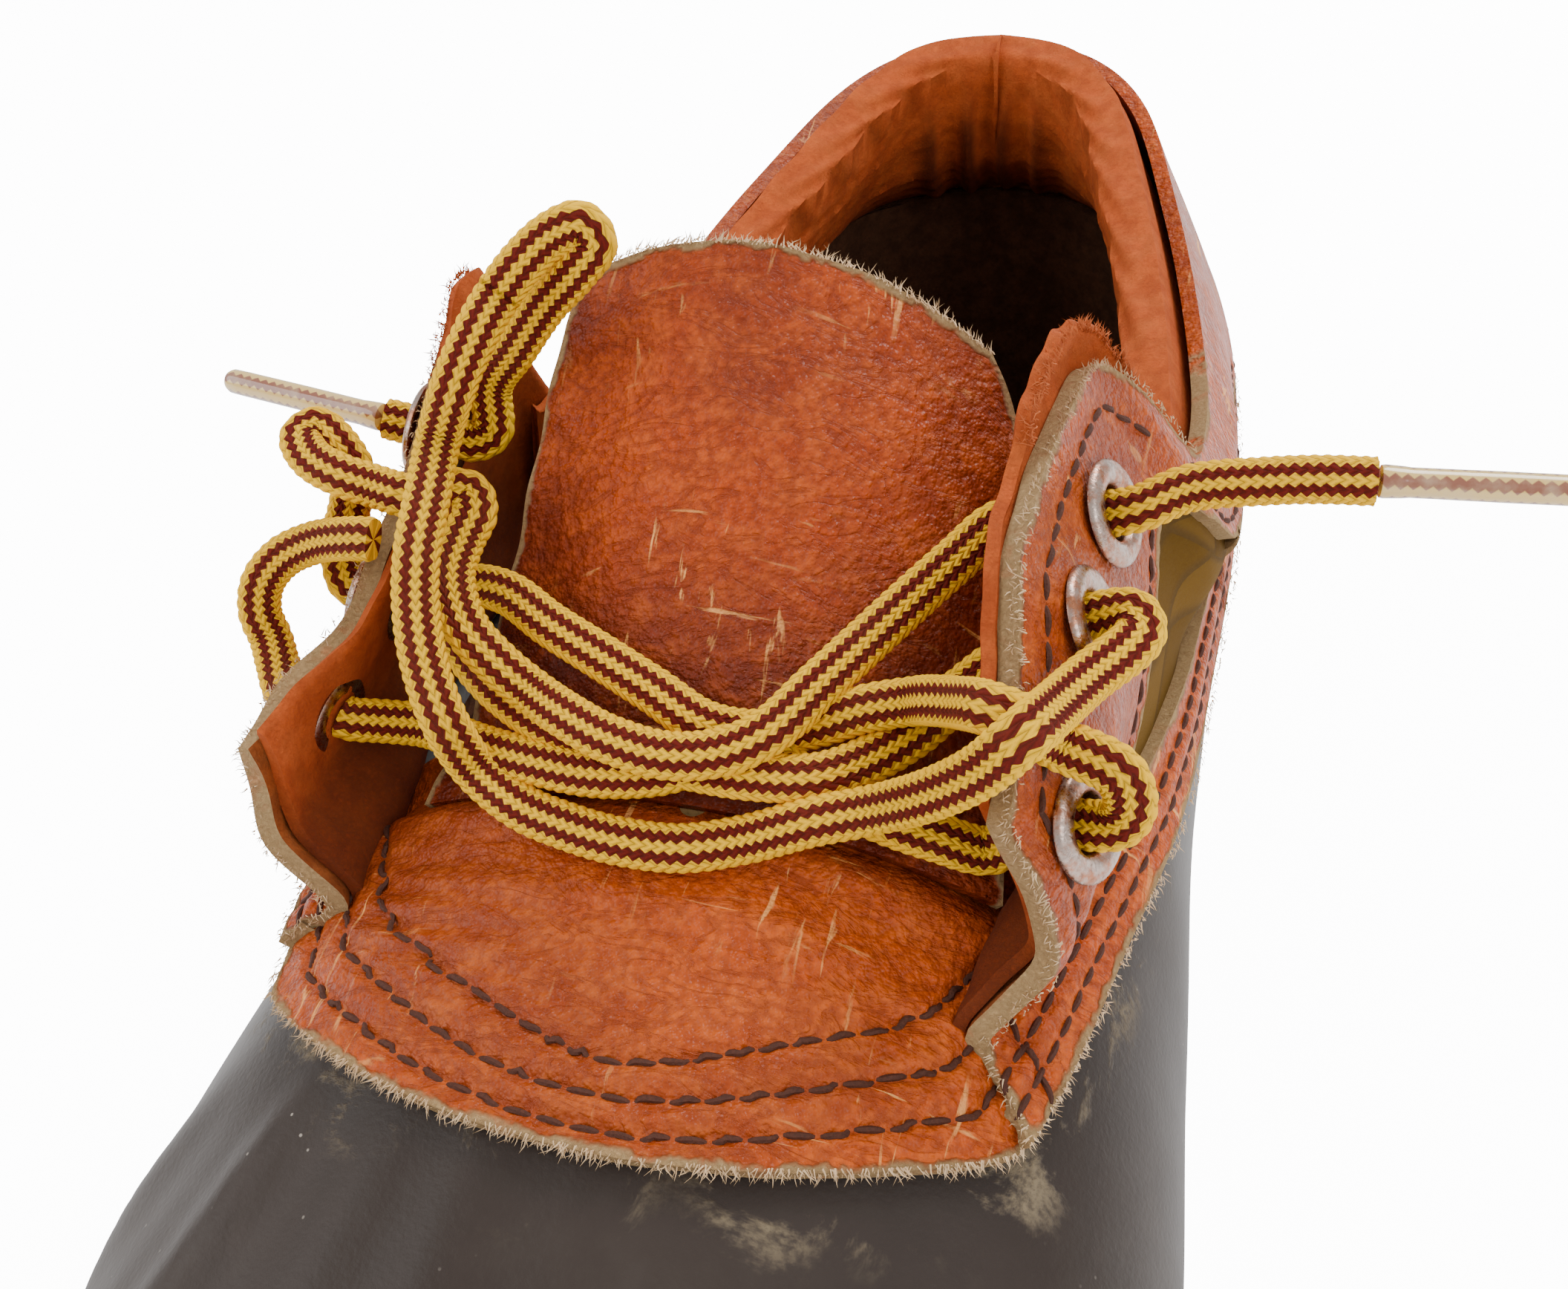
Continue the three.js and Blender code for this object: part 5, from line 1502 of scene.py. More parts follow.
def quarters_piece(finishes):
    places, grid = quarter_base()
    surface = grid_surface(grid)
    seams = quarter_seams(surface)
    shaped, edge = quarter_shape(places, grid, seams)
    folded = 8.0 * smooth(shaped[..., 1], 34, 50) * smooth(shaped[..., 2], 80, 86)
    piece = lay_grid("quarters", shaped, fields={"edge": edge + folded})
    thicken(piece, QUARTER_WALL - 0.4, finishes)
    cut(piece, [window_cutter(1), window_cutter(-1)] + [hole_cutter(name) for name in EYELETS])
    return finish_piece(piece, None, ["upper"])


def lining_piece(finish):
    """Suede behind both flaps, standing out ragged above their tops."""
    parts = []
    for side in (1, -1):
        front = (OUTER_QUARTER if side > 0 else INNER_QUARTER)[0, 0]
        station = np.linspace(front + 0.05, 6.55, 150)
        share = np.linspace(0.45, 1, 26)
        grid = quarter_point(side, *np.broadcast_arrays(station[None], share[:, None]))
        if side < 0:
            grid = grid[:, ::-1]
            station = station[::-1]
        normals = grid_normals(grid)
        grid = grid - normals * (QUARTER_WALL - 0.25)
        low = 5.25 if side > 0 else 5.5
        proud = smooth(station, low, low + 0.25) * (1 - smooth(station, 6.0, 6.3))
        reach = (0.4 + (4.2 if side > 0 else 3.0) * proud) * (1 + 0.3 * ripple(grid[-1], 5, 3 + side))
        up = unit(grid[-1] - grid[-3])
        rows = []
        for step in np.linspace(0.2, 1, 7):
            curl = normals[-1] * (1.3 * reach * step**2 * 0.35)[:, None]
            rows.append(grid[-1] + up * (reach * step)[:, None] + curl)
        grid = np.concatenate([grid, np.array(rows)])
        grid = grid + grid_normals(grid) * (0.25 * ripple(grid, 4, 2))[..., None]
        # Painted shade, read by the suede's finish: darker on the lining's lower rows, standing in for the
        # shadow behind the flaps.
        low = np.concatenate([1 - smooth(share, 0.62, 0.95), np.zeros(7)])
        shade = np.broadcast_to(low[:, None], grid.shape[:2])
        piece = lay_grid("lining", grid, fields={"shade": shade})
        thicken(piece, 1.3, [finish])
        parts.append(piece)
    return finish_piece(join("flap_lining", parts), None)


def canvas_piece(side, name, finish):
    """A woven panel let in behind its window, a little full in the middle."""
    along, up = np.meshgrid(np.linspace(0, 1, 60), np.linspace(0, 1, 34))
    grid = window_point(side, along, up, grow=0.06)
    if side < 0:
        grid = grid[:, ::-1]
        along = along[:, ::-1]
    swell = np.sin(np.pi * along) * np.sin(np.pi * up)
    grid = grid + grid_normals(grid) * (-1.7 + 0.9 * swell + 0.2 * ripple(grid, 15, 4))[..., None]
    row, column = np.indices(along.shape)
    width = np.linalg.norm(np.diff(grid, axis=1), axis=2).mean() * column
    height = np.linalg.norm(np.diff(grid, axis=0), axis=2).mean() * row
    uv = np.stack([width, height], -1) * 0.01
    piece = lay_grid(name + "_cloth", grid, uv)
    thicken(piece, 0.9, [finish])
    finish_piece(piece, None, [name])
    return piece


def eyelet_piece(name, finish):
    """A rolled ring, spun from its section, with its barrel through the leather."""
    centre, normal = eyelet_seat(name)
    section = [
        (2.8, -3.8), (4.2, -3.9), (4.5, -3.6), (4.2, -3.2), (3.3, -3.0), (3.3, 0.45), (5.3, 0.42),
        (5.55, 0.6), (5.5, 0.95), (5.1, 1.3), (4.4, 1.55), (3.6, 1.5), (3.05, 1.15), (2.8, 0.6),
    ]
    deselect()
    bpy.ops.mesh.primitive_circle_add(vertices=len(section), radius=MM)
    piece = bpy.context.object
    for vertex, (radius, height) in zip(piece.data.vertices, section):
        vertex.co = (radius * MM, 0, height * MM)
    bpy.ops.object.mode_set(mode="EDIT")
    bpy.ops.mesh.select_all(action="SELECT")
    bpy.ops.mesh.spin(steps=40, angle=2 * math.pi, center=(0, 0, 0), axis=(0, 0, 1))
    bpy.ops.mesh.select_all(action="SELECT")
    bpy.ops.mesh.remove_doubles(threshold=1e-6)
    bpy.ops.mesh.normals_make_consistent(inside=False)
    bpy.ops.object.mode_set(mode="OBJECT")
    turn = Vector((0, 0, 1)).rotation_difference(Vector(normal)).to_matrix().to_4x4()
    turn.translation = Vector(place_of(centre))
    piece.data.transform(turn)
    piece.name = name + "_ring"
    return finish_piece(piece, finish, [name], math.radians(60))


# The padded collar: suede rolled over the top edge, ribbed inside and folded at the heel
COLLAR_FROM = 6.2
COLLAR_COLUMNS = 420
COLLAR_THICKNESS = 10.0
# How thick the pad is, from its lower edge to its top
COLLAR_PROFILE = ([0, 0.3, 0.6, 0.85, 1], [0.12, 0.65, 1, 0.98, 0.85])


def collar_piece(finish):
    """Padded roll round the opening, ribbed at one side and folded at the heel."""
    places = np.linspace(place_at(1, COLLAR_FROM), place_at(-1, COLLAR_FROM), COLLAR_COLUMNS)
    station = station_at(places)
    shares = np.linspace(0.42, 1, 30)
    face = quarter_grid(places, shares)
    out = grid_normals(face)
    lining = face - out * (QUARTER_WALL + FIT)
    swell = mix(0.35, 1, smooth(station, COLLAR_FROM, COLLAR_FROM + 0.8))
    profile = np.interp(np.linspace(0, 1, len(shares)), *COLLAR_PROFILE)
    thick = COLLAR_THICKNESS * profile[:, None] * swell[None]
    front = lining - out * thick[..., None]
    top = lining[-1]
    across = out[-1] * (1, 1, 0)
    across = -unit(across)
    turn = np.linspace(0, np.pi, 17)[1:-1]
    width = thick[-1]
    roll = []
    for angle in turn:
        reach = 0.5 * width * (1 - np.cos(np.pi - angle))
        height = 3.8 * swell * np.sin(angle)
        roll.append(top + across * reach[:, None] + np.array((0, 0, 1)) * height[:, None])
    back = lining[::-1][:10]
    grid = np.concatenate([front, np.array(roll), back])
    x, y, z = np.moveaxis(grid, -1, 0)
    out_now = grid_normals(grid)
    middle = np.zeros(len(grid))
    middle[: len(front) + 8] = 1
    inner_face = smooth(np.arange(len(grid)), 0, 6) * (1 - smooth(np.arange(len(grid)), 34, 44))
    ribs = 0.3 * np.sin(z * 2 * np.pi / 2.4 + 0.8 * ripple(grid, 18, 2))
    ribbed = (1 - smooth(np.abs(station - 8.6), 1.6, 2.4))[None] * inner_face[:, None]
    heel = np.zeros_like(x)
    for spot, size in ((-7.5, 1.3), (-1.5, 1.8), (4.5, 1.5), (10.5, 1.1)):
        heel -= size * np.exp(-(((x - spot - 0.05 * (z - 90)) / 1.5) ** 2))
        heel += 0.5 * size * np.exp(-(((x - spot - 3.0) / 2.0) ** 2))
    low = smooth(np.arange(len(grid)), 2, 9) * (1 - smooth(np.arange(len(grid)), 22, 31))
    at_heel = smooth(y, 105, 128) * low[:, None]
    seam = -0.9 * np.exp(-(((np.arange(len(grid)) - 39) / 1.2) ** 2))[:, None]
    move = ribs * ribbed + heel * at_heel + seam + 0.45 * ripple(grid, 13, 5) * middle[:, None]
    grid = grid + out_now * (move + 0.5)[..., None]
    # Painted shade, read by the suede's finish: darker on the lower rows of the pad's inner face and in
    # the folds at the heel.
    shade = 0.8 * (1 - smooth(np.arange(len(grid)), 6, 24))[:, None] + at_heel * np.clip(-0.7 * heel, 0, 1)
    shade = np.clip(shade * middle[:, None], 0, 1)
    columns = np.arange(COLLAR_COLUMNS)
    ends = np.minimum(columns, columns[::-1])
    close = (1 - smooth(ends, 0, 6))[None, :, None]
    centre = grid[5:40].mean(axis=0, keepdims=True)
    grid = grid * (1 - 0.55 * close) + centre * 0.55 * close
    ring = np.concatenate([grid, grid[:1]])
    ring = np.concatenate([
        np.broadcast_to(ring.mean(axis=0)[:1], (len(ring), 3))[:, None], ring,
        np.broadcast_to(ring.mean(axis=0)[-1:], (len(ring), 3))[:, None],
    ], axis=1)
    shade = np.pad(np.concatenate([shade, shade[:1]]), ((0, 0), (1, 1)), mode="edge")
    piece = lay_grid("collar", ring, closed=True, fields={"shade": shade})
    face_outwards(piece)
    finish_piece(piece, finish, ["collar_pad"], math.radians(60))


def inner_lining_piece(finish):
    """Thin cloth inside the leather, from the rubber up under the collar."""
    places = np.linspace(place_at(1, 5.0), place_at(-1, 5.0), 260)
    shares = np.linspace(0.0, 0.5, 16)
    face = quarter_grid(places, shares)
    grid = face - grid_normals(face) * (QUARTER_WALL + 4.2)
    low = grid[0].copy()
    low[:, 2] = 20.0
    grid = np.concatenate([mix(low, grid[0], s)[None] for s in np.linspace(0, 1, 8)[:-1]] + [grid])
    grid = grid + grid_normals(grid) * (0.3 * ripple(grid, 12, 3))[..., None]
    piece = lay_grid("inner_lining", grid)
    thicken(piece, 0.8, [finish])
    return finish_piece(piece, None)


# Thread and fibres
def stitches(name, lines, props, finish):
    """Sewn thread: one short rounded stitch after another, its ends down in its holes."""
    pitch = props.stitch_pitch / MM
    radius = props.thread_width / MM / 2
    sections = 7
    around = 6
    turn = np.linspace(0, 2 * np.pi, around, endpoint=False)
    places, faces = [], []
    for line, normal in lines:
        length = run_length(line)
        for i in range(int(length[-1] / pitch)):
            share = np.linspace(0.04, 0.96, sections)
            at = (i + share) * pitch
            path = along_run(at, length, line)
            out = unit(along_run(at, length, normal))
            arch = np.sin(np.pi * share) ** 0.6
            wander = 0.12 * math.sin(i * 2.7)
            path = path + out * (0.55 * arch - 0.42)[:, None]
            way = unit(np.gradient(path, axis=0))
            side = unit(np.cross(way, out))
            path = path + side * (wander * (share - 0.5))[:, None]
            size = radius * (0.75 + 0.35 * arch)
            ring = (
                path[:, None]
                + side[:, None] * (np.cos(turn)[None] * size[:, None] * 1.15)[..., None]
                + out[:, None] * (np.sin(turn)[None] * size[:, None])[..., None]
            ).reshape(-1, 3)
            first = len(places) * (sections * around)
            places.append(ring)
            for s in range(sections - 1):
                for k in range(around):
                    a = first + s * around + k
                    b = first + s * around + (k + 1) % around
                    faces.append((a, b, b + around, a + around))
            faces.append(tuple(first + k for k in range(around))[::-1])
            faces.append(tuple(first + (sections - 1) * around + k for k in range(around)))
    mesh = bpy.data.meshes.new(name)
    mesh.from_pydata(place_of(np.vstack(places)).tolist(), [], faces)
    piece = bpy.data.objects.new(name, mesh)
    bpy.context.scene.collection.objects.link(piece)
    face_outwards(piece)
    return finish_piece(piece, finish)


def fibres(name, lines, props, finish, density=2.2, seed=1, reach=1.0):
    """Loose fibres on raw edges: thin bent spikes that stand out every way."""
    chance = np.random.default_rng(seed)
    length_mid = props.fibre_length / MM * reach
    places, faces = [], []
    for line, outward, normal in lines:
        length = run_length(line)
        count = int(length[-1] * density)
        at = np.sort(chance.uniform(0, length[-1], count))
        root, way, up = (
            along_run(at, length, part)
            for part in (line, outward, normal)
        )
        along = unit(np.cross(way, up))
        lean = chance.normal(0, 0.5, (count, 2))
        heading = unit(way + along * lean[:, :1] + up * lean[:, 1:] * 0.8)
        size = length_mid * chance.uniform(0.35, 1.5, count)
        bend = along * chance.normal(0, 0.35, (count, 1)) + up * chance.normal(0, 0.3, (count, 1))
        root = root - heading * 0.3 + up * chance.uniform(-0.8, 0.8, (count, 1))
        for i in range(count):
            side = unit(np.cross(heading[i], up[i]) + 1e-6)
            thick = chance.uniform(0.05, 0.11)
            first = len(places) * 7
            ring = [root[i] + thick * (math.cos(a) * side + math.sin(a) * up[i]) for a in (0, 2.1, 4.2)]
            mid = root[i] + heading[i] * size[i] * 0.55
            ring += [mid + 0.7 * thick * (math.cos(a) * side + math.sin(a) * up[i]) for a in (0, 2.1, 4.2)]
            ring.append(root[i] + (heading[i] + bend[i] * 0.6) * size[i])
            places.append(ring)
            for k in range(3):
                j = (k + 1) % 3
                faces.append((first + k, first + j, first + 3 + j, first + 3 + k))
                faces.append((first + 3 + k, first + 3 + j, first + 6))
            faces.append((first + 2, first + 1, first))
    mesh = bpy.data.meshes.new(name)
    mesh.from_pydata(place_of(np.array(places).reshape(-1, 3)).tolist(), [], faces)
    piece = bpy.data.objects.new(name, mesh)
    bpy.context.scene.collection.objects.link(piece)
    face_outwards(piece)
    return finish_piece(piece, finish)


def piece_surface(piece):
    """Surface of a finished piece, in the solids' mm."""
    mesh = piece.data
    flat = np.empty(len(mesh.vertices) * 3)
    mesh.vertices.foreach_get("co", flat)
    spots = flat.reshape(-1, 3) / MM - SHIFT
    return Surface(spots, [tuple(p.vertices) for p in mesh.polygons])


def all_stitching(props):
    thread = thread_finish()
    vamp = piece_surface(bpy.data.objects["vamp"])
    quarters = piece_surface(bpy.data.objects["quarters"])
    lines = []
    for seam in VAMP_SEAMS:
        lines.append(vamp.near(seam_line(seam, FIT + VAMP_WALL + 0.3)))
    stitches("vamp_stitching", lines, props, thread)
    _, grid = quarter_base()
    seams = quarter_seams(grid_surface(grid))
    lines = []
    for line in seams.values():
        place, normal = quarters.near(line)
        keep = np.linalg.norm(place - line, axis=1) < 1.6
        lines.append((place[keep], normal[keep]))
    stitches("quarter_stitching", lines, props, thread)


def edge_fringe(line, surface, way):
    """A raw edge with its outward and upward ways at each point."""
    tangent = unit(np.gradient(line, axis=0))
    _, normal = surface.near(line)
    return line, unit(np.cross(normal, tangent)) * way, normal


def all_fibres(props):
    cream = fibre_finish("Raw edge fibre", (232, 204, 164), (176, 138, 98))
    rust = fibre_finish("Suede fibre", (204, 112, 62), (140, 66, 34))
    grid, normals = vamp_grid()
    vamp_edge = (grid[0], unit(grid[0] - grid[2]), normals[0])
    tongue = tongue_grid(110, 120)
    tongue_edge = (tongue[-1], unit(tongue[-1] - tongue[-3]), grid_normals(tongue)[-1])
    fibres("edge_fibres", [vamp_edge, tongue_edge], props, cream, density=9, seed=4)
    _, base = quarter_base()
    surface = grid_surface(base)
    real = piece_surface(bpy.data.objects["quarters"])
    lines = []
    for side in (1, -1):
        line = real.near(flap_line(side, 0.0, 6.3))[0]
        lines.append(edge_fringe(resample(line, 0.8), surface, side))
    for side in (1, -1):
        front = (OUTER_QUARTER if side > 0 else INNER_QUARTER)[0, 0]
        strip = quarter_point(side, np.linspace(front, 10.9, 300), np.zeros(300))
        lines.append(edge_fringe(resample(strip, 0.8), surface, -side))
    fibres("flap_fibres", lines, props, cream, density=7, seed=9, reach=0.75)
    tops = []
    lining = bpy.data.objects["flap_lining"]
    fur = piece_surface(lining)
    for side in (1, -1):
        station = np.linspace(5.3, 6.2, 120)
        top = quarter_point(side, station, np.ones(120))
        top = top + np.array((0, 0, 3.6 if side > 0 else 2.6))
        place = fur.near(top)[0]
        tops.append(edge_fringe(resample(place, 0.6), surface, side))
    fibres("lining_fibres", tops, props, rust, density=16, seed=6, reach=1.1)


# The stage: floor, light and camera
def look_from(place, turn, tilt, roll):
    """Camera matrix from its place in mm and its angles in degrees."""
    turn, tilt, roll = (math.radians(angle) for angle in (turn, tilt, roll))
    forward = Vector((math.sin(turn) * math.cos(tilt), math.cos(turn) * math.cos(tilt), -math.sin(tilt)))
    level = Vector((math.cos(turn), -math.sin(turn), 0))
    upright = level.cross(forward)
    right = math.cos(roll) * level + math.sin(roll) * upright
    above = -math.sin(roll) * level + math.cos(roll) * upright
    matrix = Matrix((right, above, -forward)).transposed().to_4x4()
    matrix.translation = Vector(place) * MM
    return matrix


def add_camera(props):
    data = bpy.data.cameras.new("camera")
    data.sensor_fit = "HORIZONTAL"
    data.sensor_width = 36.0
    data.lens = props.lens
    data.clip_start = 0.01
    data.clip_end = 20.0
    camera = bpy.data.objects.new("camera", data)
    bpy.context.scene.collection.objects.link(camera)
    camera.matrix_world = look_from((44.47, -116.0, 181.3), -19.1, 40.3, -4.9)
    bpy.context.scene.camera = camera


def add_light(name, place, aim, size, power):
    deselect()
    bpy.ops.object.light_add(type="AREA", location=place)
    lamp = bpy.context.object
    lamp.name = name
    lamp.data.shape = "DISK"
    lamp.data.size = size
    lamp.data.energy = power
    lamp.rotation_euler = (Vector(aim) - Vector(place)).to_track_quat("-Z", "Y").to_euler()


def add_floor():
    deselect()
    bpy.ops.mesh.primitive_plane_add(size=14.0, location=(0, 0, 0))
    floor = bpy.context.object
    floor.name = "floor"
    finish, web, shader = start_finish("Pale floor", 0.75, Emission_Color=(1, 1, 1, 1))
    seen = web.node("ShaderNodeLightPath").outputs["Is Camera Ray"]
    web.put(shader.inputs["Emission Strength"], web.range(seen, 0.0, 1.0, 0.5, 12.0))
    cloud = web.noise(web.place(), 2.5, 3.0)
    web.put(shader.inputs["Base Color"], web.mix(cloud, linear((250, 249, 248)), linear((253, 253, 254))))
    floor.data.materials.append(finish)


def add_air(props):
    world = bpy.data.worlds.new("studio")
    bpy.context.scene.world = world
    world.use_nodes = True
    back = world.node_tree.nodes["Background"]
    back.inputs[0].default_value = (1.0, 1.0, 1.0, 1.0)
    back.inputs[1].default_value = props.air


# Sizes and colours that a user would change
def length_prop(name, description, default):
    return bpy.props.FloatProperty(
        name=name, description=description, default=default, min=0.0001, max=0.5,
        precision=4, subtype="DISTANCE", unit="LENGTH",
    )


def colour_prop(name, description, screen):
    return bpy.props.FloatVectorProperty(
        name=name, description=description, default=linear(screen)[:3], size=3, min=0.0, max=1.0,
        subtype="COLOR",
    )


class DuckShoeLace(bpy.types.PropertyGroup):
    """Sizes and colours of the braided lace"""
    lace_width: length_prop("Lace width", "Width of the flat oval braid", 0.0046)
    lace_thickness: length_prop("Lace thickness", "Thickness of the braid", 0.0031)
    lace_step: length_prop("Lace step", "Distance between the braid's rings", 0.00029)
    aglet_width: length_prop("Aglet width", "Width of the clear sleeves", 0.0031)
    lace_yellow: colour_prop("Lace yellow", "Light thread of the braid", (255, 208, 16))
    lace_maroon: colour_prop("Lace maroon", "Dark thread of the braid", (120, 30, 18))


class DuckShoeTop(bpy.types.PropertyGroup):
    """Sizes and colours of the leather top and its trim"""
    stitch_pitch: length_prop("Stitch pitch", "Distance from stitch to stitch", 0.0033)
    thread_width: length_prop("Thread width", "Thickness of the sewing thread", 0.00055)
    fibre_length: length_prop("Fibre length", "Length of the loose fibres on raw edges", 0.0011)
    leather: colour_prop("Leather", "Oiled orange-brown hide", (186, 76, 18))
    leather_dark: colour_prop("Leather, dark", "Hollows and handled patches", (116, 42, 12))
    suede: colour_prop("Suede", "Lining and padded collar", (188, 84, 34))
    canvas: colour_prop("Canvas", "Side panels", (82, 56, 10))


class DuckShoeBottom(bpy.types.PropertyGroup):
    """Sizes and colour of the rubber bottom"""
    ridge_height: length_prop("Ridge height", "Height of the long ridges over the toe", 0.0014)
    groove_depth: length_prop("Groove depth", "Depth of the tread's grooves", 0.003)
    rubber: colour_prop("Rubber", "Dark moulded rubber", (41, 32, 27))


class DuckShoeStage(bpy.types.PropertyGroup):
    """Camera and light of the stage"""
    lens: bpy.props.FloatProperty(
        name="Lens", description="Focal length for a 36 mm sensor", default=33.9, min=10, max=200
    )
    air: bpy.props.FloatProperty(
        name="Air", description="Strength of the even light all round", default=1.0, min=0, max=5
    )


def leather_pair(props):
    """Face and flesh side of the leather sheets."""
    face = bpy.data.materials.get("Oiled leather") or hide_finish(
        "Oiled leather", props_colour(props.leather), props_colour(props.leather_dark),
        linear((212, 108, 36)), worn=0.85,
    )
    flesh = bpy.data.materials.get("Flesh side") or nap_finish(
        "Flesh side", linear((150, 74, 30)), linear((92, 42, 18)), linear((184, 112, 60)), scale=2200.0
    )
    return [face, flesh]


def suede_of(props):
    """The rust suede of the collar and of the flaps' lining."""
    return bpy.data.materials.get("Rust suede") or nap_finish(
        "Rust suede", props_colour(props.suede), linear((138, 56, 22)), linear((208, 112, 54)),
        scale=2300.0,
    )


def make_vamp(props):
    vamp_piece(leather_pair(props))


def make_tongue(props):
    face = hide_finish(
        "Tongue leather", linear((178, 68, 16)), linear((106, 34, 10)), linear((208, 100, 32)), worn=1.0
    )
    tongue_piece([face, leather_pair(props)[1]])


def make_quarters(props):
    quarters_piece(leather_pair(props))


def make_lining(props):
    lining_piece(suede_of(props))


def make_canvas(props):
    finish = canvas_finish(props)
    canvas_piece(1, "canvas_outer", finish)
    canvas_piece(-1, "canvas_inner", finish)


def make_eyelets():
    finish = eyelet_finish()
    for name in EYELETS:
        eyelet_piece(name, finish)


def make_collar(props):
    collar_piece(suede_of(props))


def make_inside():
    """A worn finish on the CAD's insole, and the cloth lining."""
    footbed = nap_finish(
        "Worn insole", linear((112, 86, 50)), linear((58, 42, 24)), linear((142, 112, 68)), scale=1800.0
    )
    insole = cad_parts["insole"]
    insole.data.materials.clear()
    insole.data.materials.append(footbed)
    cloth = nap_finish(
        "Inner lining", linear((84, 52, 34)), linear((46, 28, 18)), linear((112, 74, 50)), scale=2000.0
    )
    inner_lining_piece(cloth)


def make_stage(props):
    add_camera(props)
    add_floor()
    add_air(props)
    add_light("key", (0.35, 0.9, 1.3), (0, 0, 0.05), 0.8, 20)
    add_light("fill", (-1.1, -0.5, 0.9), (0, 0, 0.05), 1.2, 12)
    add_light("rim", (0.9, -0.6, 0.8), (0, 0, 0.05), 0.8, 6)


# One operator for each piece or group of like pieces
class DUCKSHOE_OT_stage(bpy.types.Operator):
    """Camera, floor and soft studio light"""
    bl_idname = "duckshoe.stage"
    bl_label = "Stage"

    def execute(self, context):
        make_stage(context.scene.duckshoe_stage)
        return {"FINISHED"}


class DUCKSHOE_OT_lace(bpy.types.Operator):
    """Braided lace, its ends and loops"""
    bl_idname = "duckshoe.lace"
    bl_label = "Lace"

    def execute(self, context):
        lace_pieces(context.scene.duckshoe_lace)
        return {"FINISHED"}


class DUCKSHOE_OT_rubber(bpy.types.Operator):
    """Moulded rubber bottom with its tread"""
    bl_idname = "duckshoe.rubber"
    bl_label = "Rubber bottom"

    def execute(self, context):
        rubber_piece(context.scene.duckshoe_bottom)
        return {"FINISHED"}


class DUCKSHOE_OT_vamp(bpy.types.Operator):
    """Leather over the toes, stitched to the rubber"""
    bl_idname = "duckshoe.vamp"
    bl_label = "Vamp"

    def execute(self, context):
        make_vamp(context.scene.duckshoe_top)
        return {"FINISHED"}


class DUCKSHOE_OT_tongue(bpy.types.Operator):
    """Leather tongue with its raw top edge"""
    bl_idname = "duckshoe.tongue"
    bl_label = "Tongue"

    def execute(self, context):
        make_tongue(context.scene.duckshoe_top)
        return {"FINISHED"}


class DUCKSHOE_OT_quarters(bpy.types.Operator):
    """Leather sides with their flaps, windows and holes"""
    bl_idname = "duckshoe.quarters"
    bl_label = "Quarters"

    def execute(self, context):
        make_quarters(context.scene.duckshoe_top)
        return {"FINISHED"}


class DUCKSHOE_OT_lining(bpy.types.Operator):
    """Suede behind the flaps"""
    bl_idname = "duckshoe.lining"
    bl_label = "Flap lining"

    def execute(self, context):
        make_lining(context.scene.duckshoe_top)
        return {"FINISHED"}


class DUCKSHOE_OT_canvas(bpy.types.Operator):
    """Woven panels in both sides"""
    bl_idname = "duckshoe.canvas"
    bl_label = "Canvas panels"

    def execute(self, context):
        make_canvas(context.scene.duckshoe_top)
        return {"FINISHED"}


class DUCKSHOE_OT_eyelets(bpy.types.Operator):
    """Six rolled rings"""
    bl_idname = "duckshoe.eyelets"
    bl_label = "Eyelets"

    def execute(self, context):
        make_eyelets()
        return {"FINISHED"}


class DUCKSHOE_OT_collar(bpy.types.Operator):
    """Padded suede round the opening"""
    bl_idname = "duckshoe.collar"
    bl_label = "Collar"

    def execute(self, context):
        make_collar(context.scene.duckshoe_top)
        return {"FINISHED"}


class DUCKSHOE_OT_inside(bpy.types.Operator):
    """Worn insole and the cloth lining"""
    bl_idname = "duckshoe.inside"
    bl_label = "Inside"

    def execute(self, context):
        make_inside()
        return {"FINISHED"}


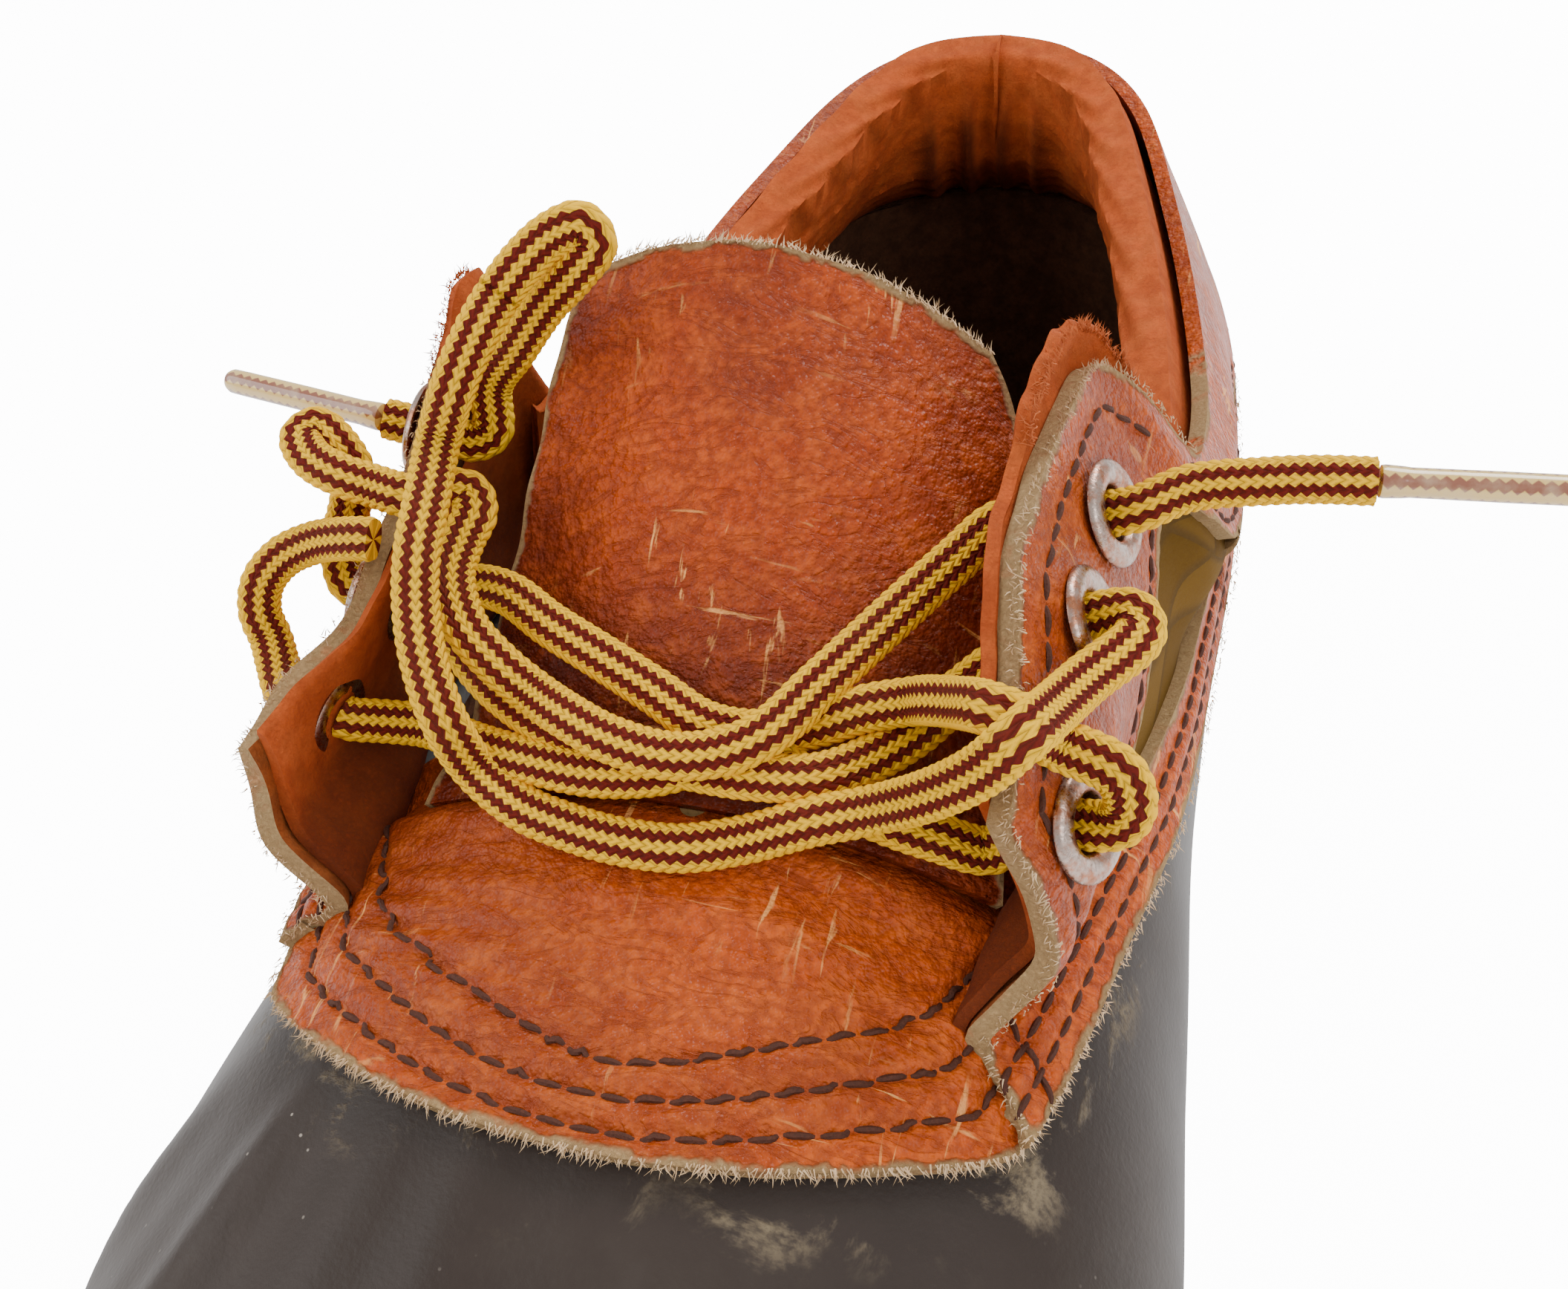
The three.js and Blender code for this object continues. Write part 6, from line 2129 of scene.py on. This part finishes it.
class DUCKSHOE_OT_stitching(bpy.types.Operator):
    """Thread along the seams"""
    bl_idname = "duckshoe.stitching"
    bl_label = "Stitching"

    def execute(self, context):
        all_stitching(context.scene.duckshoe_top)
        return {"FINISHED"}


class DUCKSHOE_OT_fibres(bpy.types.Operator):
    """Loose fibres on the raw edges"""
    bl_idname = "duckshoe.fibres"
    bl_label = "Fibres"

    def execute(self, context):
        all_fibres(context.scene.duckshoe_top)
        return {"FINISHED"}


OPERATORS = (
    DUCKSHOE_OT_stage,
    DUCKSHOE_OT_lace,
    DUCKSHOE_OT_rubber,
    DUCKSHOE_OT_vamp,
    DUCKSHOE_OT_tongue,
    DUCKSHOE_OT_quarters,
    DUCKSHOE_OT_lining,
    DUCKSHOE_OT_canvas,
    DUCKSHOE_OT_eyelets,
    DUCKSHOE_OT_collar,
    DUCKSHOE_OT_inside,
    DUCKSHOE_OT_stitching,
    DUCKSHOE_OT_fibres,
)


class DUCKSHOE_PT_pieces(bpy.types.Panel):
    """Lists the shoe's pieces in the 3D view's sidebar"""
    bl_label = "Duck shoe"
    bl_idname = "DUCKSHOE_PT_pieces"
    bl_space_type = "VIEW_3D"
    bl_region_type = "UI"
    bl_category = "Duck shoe"

    def draw(self, context):
        for kind in OPERATORS:
            self.layout.operator(kind.bl_idname)


GROUPS = {
    "duckshoe_lace": DuckShoeLace,
    "duckshoe_top": DuckShoeTop,
    "duckshoe_bottom": DuckShoeBottom,
    "duckshoe_stage": DuckShoeStage,
}


def register():
    for group in GROUPS.values():
        bpy.utils.register_class(group)
    for name, group in GROUPS.items():
        setattr(bpy.types.Scene, name, bpy.props.PointerProperty(type=group))
    for kind in OPERATORS:
        bpy.utils.register_class(kind)
    bpy.utils.register_class(DUCKSHOE_PT_pieces)


def unregister():
    bpy.utils.unregister_class(DUCKSHOE_PT_pieces)
    for kind in reversed(OPERATORS):
        bpy.utils.unregister_class(kind)
    for name, group in GROUPS.items():
        delattr(bpy.types.Scene, name)
        bpy.utils.unregister_class(group)


def main():
    register()
    for kind in OPERATORS:
        getattr(bpy.ops.duckshoe, kind.bl_idname.split(".")[1])()


if __name__ == "__main__":
    main()
